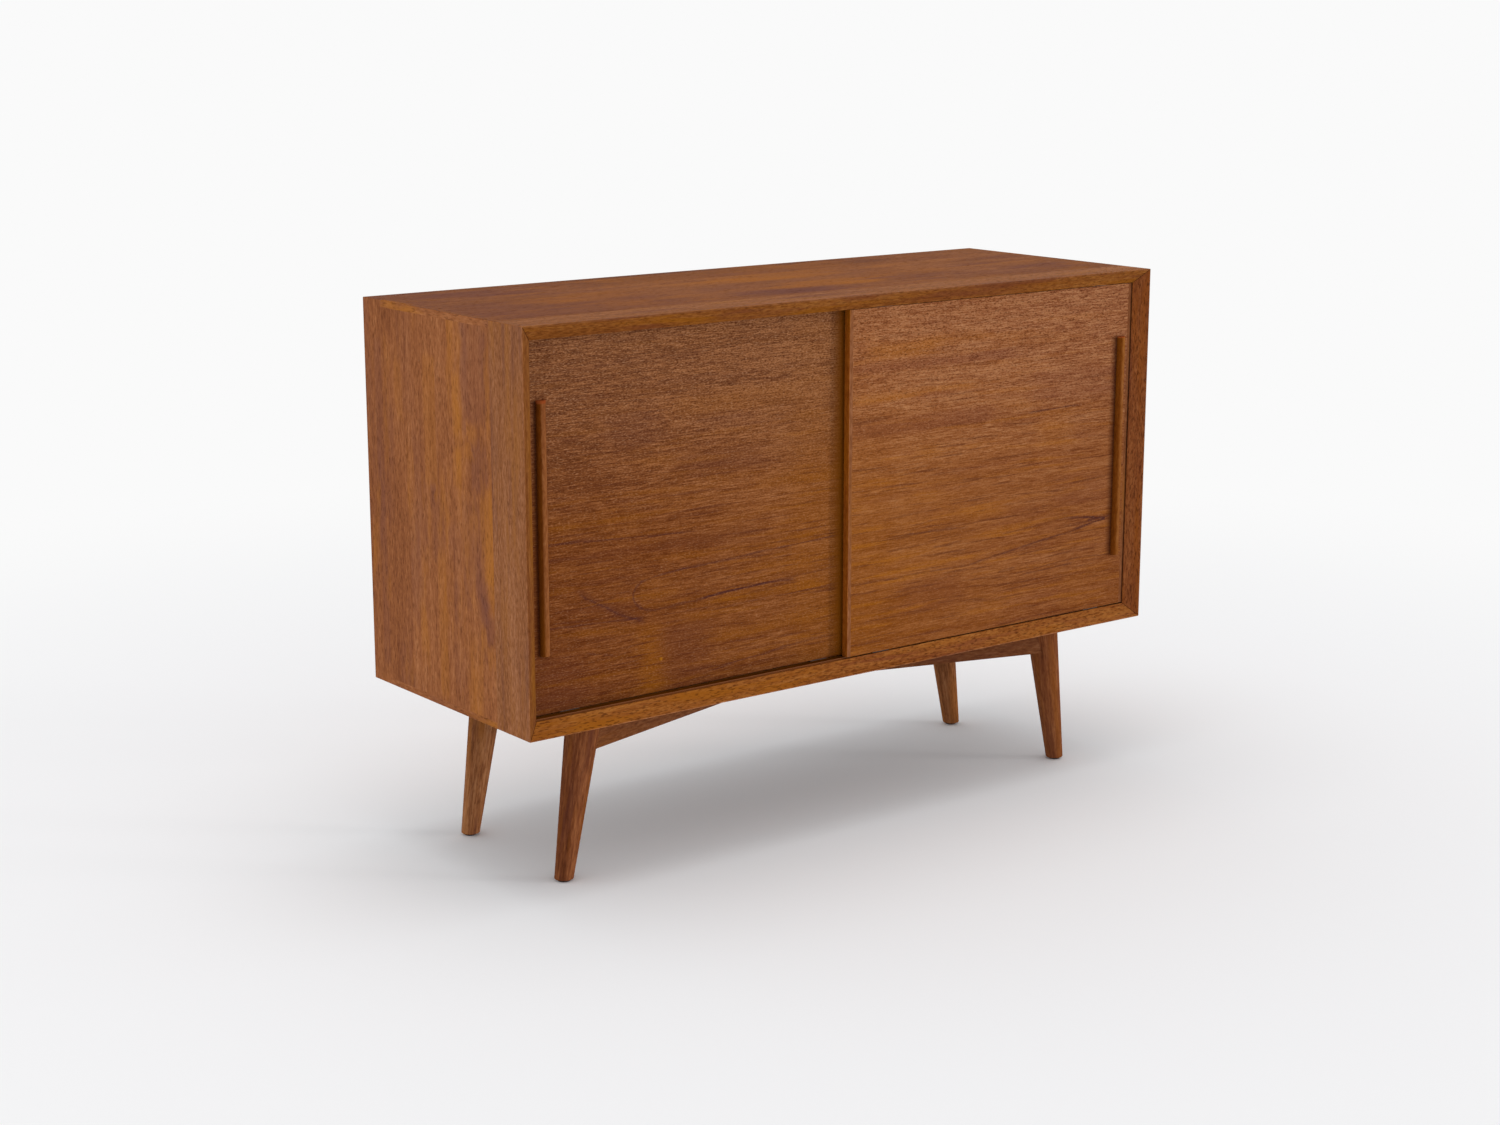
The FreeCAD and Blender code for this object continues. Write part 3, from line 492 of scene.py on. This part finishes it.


# Marks in the veneer, in millimetres.  A patch is its left, right, top and bottom edges and a
# strength; a line is its start, its end, its bow, its width and a strength; the ease is how far the
# edges of a patch fade, across and down.
#
# On a door, the light patches brighten or darken: the bright bands along the top edge are painted
# light against the shade under the top of the case.  A knot is a pale fleck and a stem a golden
# column.  The slope and the fall are how much the brightness gains to the right and loses to the
# bottom, the slope being painted shading; the gilding how much the gold loses to the right, the
# ground how golden all of it is, the boldness how strong the patches are, and crisp the strength of
# the grain: what the upper part adds, and what it has everywhere.
#
# A crown is the point where growth rings meet: its tip, the way it opens (1 to the right), how far
# its heart stays golden, how dark its rings are at the tip and away from it, the radius of its
# round end and its two arms.  An arm is a reach, how far down it has gone there, the power by which
# it goes, and a tilt.
LEFT_DOOR_MARKS = {
    "gold": (
        (250, 480, 100, 134, 0.35), (400, 580, 236, 255, 0.3), (190, 262, 184, 198, 0.3),
        (30, 190, 252, 284, 0.14), (194, 228, 430, 560, 0.38), (330, 520, 402, 416, 0.3),
        (300, 560, 456, 470, 0.25), (470, 700, -40, 640, 0.22),
    ),
    "plum": (
        (140, 225, 112, 166, 0.35), (270, 420, 192, 222, 0.4), (318, 410, 136, 150, 0.35),
        (427, 478, 122, 135, 0.35), (230, 322, 428, 560, 0.35), (0, 95, 452, 560, 0.35),
        (230, 420, 306, 326, 0.3),
    ),
    # the bright bands along the top edge are painted light against the shade under the case's top
    "light": (
        (225, 600, 22, 36, -0.18), (270, 600, 76, 92, -0.17), (170, 330, 312, 338, -0.15),
        (0, 150, 124, 210, -0.10), (60, 480, 6, 20, 0.12), (230, 600, 44, 70, 0.14),
        (180, 520, 96, 122, 0.12), (330, 600, 262, 290, 0.08), (440, 640, -40, 100, 0.09),
    ),
    "lines": (
        ((20, 288), (310, 304), 0, 2.0, 0.55), ((225, 358), (640, 339), 0, 2.4, 0.6),
        ((292, 405), (482, 400), -5, 2.8, 0.6), ((300, 425), (620, 420), -3, 2.0, 0.35),
        ((78, 360), (205, 424), 5, 10.0, 0.26), ((84, 366), (204, 424), 4, 2.4, 0.42),
        ((0, 407), (206, 416), 0, 2.2, 0.5), ((280, 520), (660, 500), -10, 2.2, 0.5),
        ((96, 456), (146, 466), 0, 2.0, 0.4),
    ),
    "knots": ((225, 229, 481, 485, 0.8),),
    "stem": ((194, 226, 446, 545, 0.19),),
    "crisp": (0.62, 0.47),
    "base": 0.27,
    # painted shading across the door: brighter to the right
    "slope": 0.36,
    "fall": 0.07,
    "gilding": -0.12,
    "boldness": 1.1,
    "ground": 0.02,
    "crown": {
        "tip": (180, 384), "way": 1, "heart": 120, "rings": (0.45, 0.5), "round_end": 17.0,
        "arms": ((375, -43, 0.25, 0.0), (38, 25, 0.3, -0.05)),
    },
}
RIGHT_DOOR_MARKS = {
    "gold": (
        (40, 180, 55, 76, 0.6), (150, 270, 50, 66, 0.3), (10, 255, 128, 142, 0.3),
        (140, 200, 220, 238, 0.25), (390, 470, 200, 250, 0.15),
        (227, 315, 326, 342, 0.2), (455, 600, 464, 560, 0.12), (300, 500, 70, 84, 0.2),
    ),
    "plum": (
        (136, 215, 138, 146, 0.5), (0, 290, 172, 196, 0.35), (0, 345, 84, 96, 0.35),
        (380, 600, 130, 176, 0.2), (110, 235, 430, 480, 0.25), (440, 560, 300, 350, 0.2),
    ),
    # the bright band along the top edge is painted light against the shade under the case's top
    "light": (
        (-90, 92, -40, 640, -0.12), (0, 345, 83, 95, -0.14), (0, 290, 170, 194, -0.14),
        (10, 255, 124, 160, 0.12), (0, 600, 4, 50, 0.06), (60, 420, 100, 122, 0.10),
        (90, 240, 432, 486, -0.08), (20, 260, 352, 372, -0.08), (120, 420, 250, 262, -0.08),
        (-90, 200, 430, 640, -0.05),
    ),
    "lines": (
        ((365, 190), (490, 187), 0, 2.0, 0.7), ((110, 354), (250, 359), 0, 2.2, 0.45),
        ((360, 453), (480, 448), 0, 2.2, 0.6), ((70, 421), (115, 421), 0, 2.0, 0.4),
        ((310, 442), (350, 441), 0, 2.0, 0.35), ((505, 381), (560, 379), 0, 4.0, 0.7),
    ),
    "knots": (),
    "stem": (),
    "crisp": (0.60, 0.34),
    "base": 0.49,
    # painted shading across the door: darker to the right
    "slope": -0.08,
    "fall": 0.15,
    "gilding": 0.38,
    "boldness": 1.4,
    "ground": 0.08,
    "crown": {
        "tip": (547, 384), "way": -1, "heart": 60, "rings": (0.95, 0.62), "round_end": 0.0,
        "arms": ((94, -14, 0.6, 0.0), (300, 37, 1.0, 0.0)),
    },
}
LEFT_SIDE_MARKS = {
    "ease": (4.0, 9.0),
    "gold": (
        (168, 200, 60, 265, 0.25), (248, 268, 80, 168, 0.3), (282, 308, 164, 192, 0.3),
        (325, 348, 236, 372, 0.3), (196, 218, 350, 560, 0.25), (312, 345, 446, 480, 0.25),
        (245, 270, 185, 240, 0.25), (85, 110, 90, 170, 0.2),
    ),
    "plum": (
        (273, 338, 0, 158, 0.28), (294, 338, 180, 238, 0.42), (268, 327, 258, 408, 0.32),
        (314, 350, 400, 442, 0.4), (182, 218, 262, 365, 0.25), (30, 50, 60, 560, 0.3),
        (240, 262, 380, 440, 0.25), (95, 135, 0, 150, 0.15), (120, 150, 330, 470, 0.2),
    ),
    "light": ((-50, 120, -50, 640, -0.14), (60, 110, 60, 240, 0.10), (180, 330, -20, 130, 0.06)),
}
TOP_MARKS = {
    "ease": (40.0, 9.0),
    "gold": (
        (350, 830, 25, 120, 0.25), (550, 760, 112, 190, 0.6), (580, 760, 236, 300, 0.6),
        (210, 320, 150, 230, 0.3), (820, 940, 130, 260, 0.25),
    ),
    "plum": (
        (50, 225, 36, 112, 0.6), (545, 670, 66, 110, 0.4), (430, 680, 290, 352, 0.5),
        (0, 330, 180, 352, 0.35), (1080, 1170, 262, 330, 0.6), (800, 900, 262, 300, 0.3),
    ),
    # the pale patches towards the right end are a painted sheen
    "light": (
        (1060, 1260, -20, 300, 0.08), (350, 830, 100, 280, 0.08), (300, 930, -20, 92, -0.26),
        (880, 1050, 112, 320, 0.24), (1060, 1260, 330, 460, -0.2),
    ),
}

DOOR_WIDTH = 560.0              # millimetres of a door over which its tone drifts
DOOR_EASE = (26.0, 7.0)
STEM_EASE = (16.0, 40.0)
KNOT_EASE = (2.0, 2.0)
UPPER_PART = (330.0, 20.0)      # how far down the pale upper part, with its painted sheen, starts and is at its palest
LOWER_PART = (280.0, 540.0)     # and the same for the darker lower part
# the painted sheen on the upper part of each door
UPPER_SHEEN_TONES = {"left_door": tone(137, 100, 75), "right_door": tone(154, 100, 75)}

# The parts of a crown, in millimetres.  A pair is where a part has faded and where it is full.
RING_WIDTH = (2.8, 0.4)         # from the middle of a ring
ROUND_END_WIDTH = (2.4, 0.5)
RING_FADES = ((170.0, 50.0), (700.0, 100.0))    # from the tip, along the upper ring and the lower one
TIP_REACH = (90.0, 20.0)        # how far the darkness of the tip reaches
HEART_EDGE = (0.0, 5.0)         # inwards from a ring
HEART_FULL = 6.0                # from the tip, where the heart is at its most golden
ROUND_END_STRENGTH = 0.5
HEART_STRENGTH = 0.22

# the painted shadow next to a pull, in metres: on its left, on its right, and past its two ends
SHADE_LEFT = {"left_door": 0.011, "right_door": 0.017}
SHADE_RIGHT = 0.003
SHADE_BELOW = (-0.002, 0.003)
SHADE_ABOVE = (0.004, -0.002)

MEETING_SHADE = (-0.036, -0.012)      # where the painted warm shade on the left door begins and is full, next to and under the part that the right door covers
MEETING_SHADE_TONE = tone(132, 72, 9)


def crown_arm(finish, run, start, arm):
    """How far down an arm of the crown lies: it leaves the tip by a power of the run, then tilts."""
    reach, drop, power, tilt = arm
    return finish.share(run, reach) ** power * drop + run * tilt + start


def round_end(finish, run, off, radius):
    """The half circle that closes a crown whose tip is round."""
    reach = ((run - radius) * (run - radius) + off * off) ** 0.5
    circle = finish.rise(abs(reach - radius), *ROUND_END_WIDTH)
    return circle * finish.rise(run, radius * 1.2, radius * 0.7)


def crown(finish, marks, across, level, waver):
    """The round end, the two rings and the golden heart of a crown; the waver shoves it along."""
    tip_across, tip_down = marks["tip"]
    radius = marks["round_end"]
    run = (across - tip_across + waver) * marks["way"]
    above, below = (crown_arm(finish, run, tip_down, arm) for arm in marks["arms"])
    started = finish.rise(run, radius * 0.7 - 1.0, radius * 0.7 + 2.0)
    upper, lower = (
        finish.rise(abs(level - line), *RING_WIDTH) * finish.rise(run, *fade)
        for line, fade in zip((above, below), RING_FADES)
    )
    at_tip, away = marks["rings"]
    rings = (upper + lower) * started * (finish.rise(run, *TIP_REACH) * (at_tip - away) + away)
    heart = finish.rise(level - above, *HEART_EDGE) * finish.rise(below - level, *HEART_EDGE) * started
    heart = heart * finish.rise(run, marks["heart"], HEART_FULL)
    end = round_end(finish, run, level - tip_down, radius) if radius else 0.0
    return end * ROUND_END_STRENGTH, rings, heart * HEART_STRENGTH


def pull_shadow(finish, pull, reach):
    """1 right next to a pull, on its left, and less on its right: there a shadow of the pull is painted
    on the wood.
    """
    x, _, z = finish.axes()
    low, high = pull
    middle = (low[0] + high[0]) / 2
    left = finish.rise(x, low[0] - reach, low[0]) * finish.rise(x, middle, low[0])
    right = finish.rise(x, high[0] + SHADE_RIGHT, high[0]) * finish.rise(x, middle, high[0])
    level = finish.rise(z, low[2] + SHADE_BELOW[0], low[2] + SHADE_BELOW[1])
    level = level * finish.rise(z, high[2] + SHADE_ABOVE[0], high[2] + SHADE_ABOVE[1])
    return (left + right * 0.6) * level


def door_veneer(name, stock, corner, marks, pull):
    """Crown-cut veneer across a door: open-pored and pale with a painted sheen at the top, golden lower
    down.
    """
    finish = Finish(name)
    u, v, w = finish.grain("x")
    place = (u, v, w)
    across, down = finish.face(corner)
    slow = finish.sway(place, DOOR["slow"])
    bent = (u, v + slow * DOOR_WANDER, w)
    streaks = finish.sway(bent, DOOR["streaks"])
    grain = finish.sway(place, DOOR["grain"])
    speck = finish.cloud(place, DOOR["speck"])
    thread = finish.flecks(bent, DOOR["thread"])
    upper = finish.rise(down, *UPPER_PART)
    crisp = upper * marks["crisp"][0] + marks["crisp"][1]

    # the marks, whose edges the patterns shove about by so many millimetres
    ragged = (across + grain * 70.0 + streaks * 90.0, down + slow * 8.0 + streaks * 22.0 + grain * 5.0)
    way = finish.share(across, DOOR_WIDTH)
    gold = finish.patches(ragged, marks["gold"], DOOR_EASE) * marks["boldness"]
    gold = gold + (0.5 - way) * marks["gilding"] + marks["ground"]
    gold = gold + finish.patches((across + streaks * 16.0, down), marks["stem"], STEM_EASE)
    plum = finish.patches(ragged, marks["plum"], DOOR_EASE) * marks["boldness"]
    light = finish.patches(ragged, marks["light"], DOOR_EASE) + way * marks["slope"]
    lines = finish.strokes((across, down + slow * 6.0 + streaks * 16.0 + grain * 9.0), marks["lines"])
    level = down + streaks * 15.0 + grain * 8.0
    end, rings, heart = crown(finish, marks["crown"], across, level, slow * 10.0)
    rings = lines + end + rings
    gold = gold + heart

    # the wood between them
    brightness = streaks * 1.05 + grain * (crisp * 5.4) + light + upper * 0.06 + marks["base"]
    brightness = brightness - finish.rise(down, *LOWER_PART) * marks["fall"]
    gold = gold + finish.flecks(place, DOOR["gold"]) * 0.42
    plum = plum + finish.flecks((u, w, v), DOOR["plum"]) * 0.36
    colour = stain(finish, stock, brightness, gold * (1.0 - upper * 0.4), plum)
    # a painted sheen over the upper part
    colour = finish.mix(upper * 0.25, colour, UPPER_SHEEN_TONES[stock])

    # what lies dark or pale on top of it
    colour = finish.mix(finish.patches((across, down), marks["knots"], KNOT_EASE), colour, KNOT)
    colour = finish.mix(thread * (0.62 - upper * 0.38), colour, THREAD)
    colour = finish.mix(rings * (finish.rise(grain, -0.2, 0.1) * 0.7 + 0.55), colour, RING)
    pores = finish.rise(speck, *SPECK_PORE)
    colour = finish.mix(pores * crisp * DOOR_PORE_STRENGTH, colour, DOOR_PORE)
    colour = finish.mix(finish.rise(speck, *SPECK_GLINT) * (crisp * 0.28 + 0.02), colour, GLINT)
    # a shadow of the pull, painted darker on the wood next to it
    shade = pull_shadow(finish, pull, SHADE_LEFT[stock])
    colour = finish.mix(shade * SHADE_STRENGTH, colour, PORE)
    # painted warm shade on the left door next to the right door's edge
    if stock == "left_door":
        x, _, _ = finish.axes()
        colour = finish.mix(finish.rise(x, *MEETING_SHADE) * MEETING_SHADE_STRENGTH, colour, MEETING_SHADE_TONE)
    return oiled(finish, colour, pores, grain, DOOR_PORE_DEPTH)


# ------------------------------------------------------------------ metal and plastic

FINE_SPECKS = (900.0, 900.0, 2.0, 0.5)
WORN_PATCHES = (60.0, 60.0, 2.0, 0.5)
SPECK_ROUGHNESS = 0.06          # how much the specks and the worn patches vary the roughness
SPECK_DEPTH = 0.00003
WORN_SHADE = 0.72               # how dark a worn patch is beside the colour itself


def plain(name, colour, roughness, metal=0.0):
    """Metal or plastic with a faint, fine unevenness."""
    finish = Finish(name)
    place = finish.grain("x")
    specks = finish.cloud(place, FINE_SPECKS)
    wear = finish.cloud(place, WORN_PATCHES)
    darker = tuple(share * WORN_SHADE for share in colour[:3]) + (1.0,)
    uneven = specks * SPECK_ROUGHNESS * 2 + wear * SPECK_ROUGHNESS
    finish.surface(Base_Color=finish.mix(wear, darker, colour), Metallic=metal)
    finish.surface(Roughness=uneven + (roughness - SPECK_ROUGHNESS * 1.5))
    return finish.surface(Normal=finish.bump(specks, SPECK_DEPTH))


# ------------------------------------------------------------------ who wears what

FLANK_STARTS = {"left": -0.002, "right": 0.001}     # where the painted shade on a pull's left flank begins, from its middle
FLANK_FULL = 0.003              # and where it is at its darkest, from its left edge
END_GRAIN = {"left": 0.006, "right": 0.002}     # how far down the top of a pull the end grain shows

# how lively the wood of each leg is and how much lighter than its stock
LEG_WOODS = {
    ("front", "left"): (1.2, 0.07),
    ("front", "right"): (0.7, 0.12),
    ("back", "left"): (2.2, 0.06),
    ("back", "right"): (1.2, -0.18),
}
LEG_SPLAY = math.radians(9.3)
RAIL_ANGLE = math.radians(15.9)

CROSS_LIP_SHIFTS = {"top": 0.11, "bottom": 0.15, "left_side": 0.19, "right_side": 0.23}
BEECH = tone(190, 150, 110)


def dress(node, material):
    """Give a node of the frame its finish."""
    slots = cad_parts[node].data.materials
    if not slots:
        slots.append(material)
    for i in range(len(slots)):
        slots[i] = material


def case_lips():
    """The finish of each front lip of the case."""
    top = ("top_lip", "lintel", "hollow_shade")
    bottom = ("side_lip", "sill", "recess_shade")
    left = ("side_lip", "bevel", "hollow_shade")
    right = ("side_lip", "jamb", "hollow_shade")
    return {
        "top": case_lipping("top_lipping", "x", top, 0.0, 0.4, gains=(0.15, -0.1), rim=EDGE * 2),
        "bottom": case_lipping("bottom_lipping", "x", bottom, 0.1, 0.55, gains=(0.1, -0.5)),
        "left_side": case_lipping("left_lipping", "z", left, 0.21, 0.3),
        "right_side": case_lipping("right_lipping", "z", right, 0.33, 0.55),
    }


def dress_case():
    side_corner = (("y", CASE_BACK, -1), ("z", CASE_TOP, -1))
    top_corner = (("x", CASE_LEFT, 1), ("y", CASE_BACK, -1))
    boards = {
        "top": veneer("top_veneer", "x", "top", 0.0, top_corner, TOP_MARKS),
        "bottom": veneer("bottom_veneer", "x", "side", 0.25, shaded_underneath=True),
        "left_side": veneer("left_side_veneer", "z", "side", 0.37, side_corner, LEFT_SIDE_MARKS),
        "right_side": veneer("right_side_veneer", "z", "side", 0.71),
    }
    lips = case_lips()
    for panel in PANELS:
        cross_name = panel.removesuffix("_side") + "_cross_lipping"
        cross_stock = "top" if panel == "top" else "side"
        dress(f"{panel}_panel", boards[panel])
        dress(f"{panel}_front_lip", lips[panel])
        dress(f"{panel}_back_lip", boards[panel])
        dress(f"{panel}_mitre_lips", veneer(cross_name, "y", cross_stock, CROSS_LIP_SHIFTS[panel]))
    dress("mitre_splines", plain("beech", BEECH, 0.6))
    dress("back_panel", veneer("back_veneer", "x", "side", 0.8, mitred=False))


def dress_inside():
    dress("divider", veneer("divider_veneer", "z", "side", 0.55, mitred=False))
    dress("divider_lip", lipping("divider_lipping", "z", "bevel", shift=0.4, pore_strength=0.4))
    dress("divider_dowels", plain("dowel_beech", BEECH, 0.6))
    shelf = veneer("shelf_veneer", "x", "side", 0.55, mitred=False)
    shelf_lip = lipping("shelf_lipping", "x", "bevel", shift=0.3, pore_strength=0.4)
    nickel = plain("nickel", tone(190, 186, 180), 0.3, metal=1.0)
    track = plain("track_brown", tone(150, 82, 24), 0.6)
    for side in SIDES:
        dress(f"{side}_shelf", shelf)
        dress(f"{side}_shelf_lip", shelf_lip)
        dress(f"{side}_shelf_pegs", nickel)
    for row in ("front", "rear"):
        for level in ("bottom", "top"):
            dress(f"{level}_{row}_track", track)


def pull_wood(side):
    """Pull wood with painted shade on the flank that faces left, and redder on the end grain at its
    top.
    """
    low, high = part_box(f"{side}_pull")
    middle = (low[0] + high[0]) / 2
    flank = ("x", middle + FLANK_STARTS[side], low[0] + FLANK_FULL, "pull_flank_shade")
    end = ("z", high[2] - END_GRAIN[side], high[2] - END_GRAIN[side] / 2, "pull_end")
    edges = (flank, end)
    return lipping(f"{side}_pull_wood", "z", f"{side}_pull", 0.6, 0.06, edges=edges, liveliness=0.4)


def door_lips():
    """The finish of each upright edge of the doors: those of the right door have sides of their own,
    painted shade on the outer one by the jamb and painted warm bounce light on the meeting one, in the
    gap between the doors.
    """
    outer_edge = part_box("right_door_outer_lip")[1][0]
    # painted shade on the side of the right door's outer lip by the jamb
    jamb_face = ("x", outer_edge - EDGE * 2.5, outer_edge - EDGE * 0.5, "hollow_shade")
    meeting_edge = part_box("right_door_inner_lip")[0][0]
    # painted warm bounce light on the side of the meeting lip
    side_face = ("x", meeting_edge + EDGE * 0.6, meeting_edge + EDGE * 0.2, "door_edge_bounce")

    def upright(name, shift, *edges, lift=0.0):
        return lipping(name, "z", "door_lip", shift, 0.15, lift, edges, liveliness=0.5)

    lip = upright("door_lipping", 0.13)
    return {
        "left_door_outer_lip": lip,
        "left_door_inner_lip": lip,
        "right_door_outer_lip": upright("outer_lipping", 0.41, jamb_face, lift=-0.18),
        "right_door_inner_lip": upright("meeting_lipping", 0.27, side_face),
    }


def dress_doors():
    marks = {"left": LEFT_DOOR_MARKS, "right": RIGHT_DOOR_MARKS}
    left_lips = {"left": "left_door_outer_lip", "right": "right_door_inner_lip"}
    nylon = plain("nylon", tone(70, 50, 40), 0.5)
    for node, finish in door_lips().items():
        dress(node, finish)
    for side in SIDES:
        low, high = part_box(left_lips[side])
        corner = (("x", low[0], 1), ("z", high[2], -1))
        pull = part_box(f"{side}_pull")
        skin = door_veneer(f"{side}_door_veneer", f"{side}_door", corner, marks[side], pull)
        dress(f"{side}_door_panel", skin)
        dress(f"{side}_pull", pull_wood(side))
        dress(f"{side}_door_glides", nylon)
        dress(f"{side}_door_guides", nylon)


def dress_base():
    pad = plain("foot_pad", tone(48, 30, 22), 0.6)
    for side, sign in SIDES.items():
        splay = (0, LEG_SPLAY * -sign, 0)
        turn = (0, 0, RAIL_ANGLE * -sign)
        for end in ("front", "back"):
            liveliness, lift = LEG_WOODS[end, side]
            habit = {"turn": splay, "liveliness": liveliness, "strand": "long_fibre"}
            name = f"{end}_{side}_leg_wood"
            leg = lipping(name, "z", f"{end}_leg", 0.2 * sign, 0.28, lift, **habit)
            dress(f"{end}_{side}_leg", leg)
            dress(f"{end}_{side}_foot_pad", pad)
        dress(f"{side}_rail", lipping(f"{side}_rail_wood", "x", "rail", 0.3, 0.2, turn=turn))


def dress_hardware():
    steel = plain("steel", tone(168, 166, 158), 0.36, metal=1.0)
    screws = ("left_pull_screws", "right_pull_screws", "back_panel_screws", "rail_screws")
    for node in screws + ("leg_studs", "leg_inserts"):
        dress(node, steel)


# ------------------------------------------------------------------ stage

FLOOR_SIZE = 60.0
FADE_START, FADE_END = 0.6, 2.8      # from the middle, where the floor turns into the background
BACKGROUND = tone(250, 250, 250)
FLOOR_COLOUR = tone(248, 248, 249)

ROOM_LIGHT = (0.985, 0.99, 1.0, 1.0)
ROOM_STRENGTH = 0.80
LIT_POINT = Vector((0.0, 0.0, 0.4))
OVERHEAD_PLACE, OVERHEAD_WATTS, OVERHEAD_SIZE = (-0.3, -0.1, 3.6), 24.0, 2.4
LOW_LIGHT_PLACE, LOW_LIGHT_STRENGTH, LOW_LIGHT_ANGLE = (7.4, -6.7, 1.3), 1.0, math.radians(10)

CAMERA_PLACE = (-2.3809, -3.0378, 1.2537)
CAMERA_TURN = (math.radians(77.27), 0.0, math.radians(-37.4946))
CAMERA_LENS = 60.09


def shown(net):
    """1 for the rays that show the surroundings: straight, mirrored or through glass."""
    rays = ("Is Camera Ray", "Is Glossy Ray", "Is Transmission Ray")
    straight, mirrored, through = (net.node("ShaderNodeLightPath", {}, {}, ray) for ray in rays)
    return straight + mirrored + through


def lay_floor():
    """A pale floor without an edge: far away the eye sees it as pale as the background."""
    form = bmesh.new()
    bmesh.ops.create_grid(form, x_segments=1, y_segments=1, size=FLOOR_SIZE / 2)
    mesh = bpy.data.meshes.new("floor")
    form.to_mesh(mesh)
    form.free()
    floor = bpy.data.objects.new("floor", mesh)
    bpy.context.scene.collection.objects.link(floor)
    finish = Finish("pale_floor")
    x, y, _ = finish.axes()
    far = finish.rise((x * x + y * y) ** 0.5, FADE_START, FADE_END)
    paint = finish.node("ShaderNodeBsdfDiffuse", {}, {"Color": FLOOR_COLOUR}, "BSDF")
    glow = finish.node("ShaderNodeEmission", {}, {"Color": BACKGROUND}, "Emission")
    sockets = {0: far * shown(finish), 1: paint, 2: glow}
    whole = finish.node("ShaderNodeMixShader", {}, sockets, "Shader")
    finish.feed(finish.tree.nodes["Material Output"].inputs["Surface"], whole)
    mesh.materials.append(finish.material)


def hang_lamp(name, kind, place, energy, **shape):
    """A lamp that shines at the middle of the cabinet."""
    lamp = bpy.data.lights.new(name, kind)
    lamp.energy = energy
    for setting, value in shape.items():
        setattr(lamp, setting, value)
    holder = bpy.data.objects.new(name, lamp)
    holder.location = place
    holder.rotation_euler = (LIT_POINT - Vector(place)).to_track_quat("-Z", "Y").to_euler()
    bpy.context.scene.collection.objects.link(holder)


def light_room():
    """An even, pale room, a broad soft lamp overhead and low light from the right and front."""
    world = bpy.data.worlds.new("room")
    bpy.context.scene.world = world
    world.use_nodes = True
    room = Net(world.node_tree)
    lit = room.node("ShaderNodeBackground", {}, {"Color": ROOM_LIGHT, "Strength": ROOM_STRENGTH})
    backdrop = room.node("ShaderNodeBackground", {}, {"Color": BACKGROUND})
    whole = room.node("ShaderNodeMixShader", {}, {0: shown(room), 1: lit, 2: backdrop})
    room.feed(room.tree.nodes["World Output"].inputs["Surface"], whole)
    hang_lamp("overhead", "AREA", OVERHEAD_PLACE, OVERHEAD_WATTS, shape="DISK", size=OVERHEAD_SIZE)
    hang_lamp("low_light", "SUN", LOW_LIGHT_PLACE, LOW_LIGHT_STRENGTH, angle=LOW_LIGHT_ANGLE)


def place_camera():
    camera = bpy.data.cameras.new("camera")
    camera.lens = CAMERA_LENS
    holder = bpy.data.objects.new("camera", camera)
    holder.location = CAMERA_PLACE
    holder.rotation_euler = CAMERA_TURN
    bpy.context.scene.collection.objects.link(holder)
    bpy.context.scene.camera = holder


place_camera()
dress_case()
dress_inside()
dress_doors()
dress_base()
dress_hardware()
lay_floor()
light_room()
bpy.context.scene.view_settings.view_transform = "Standard"
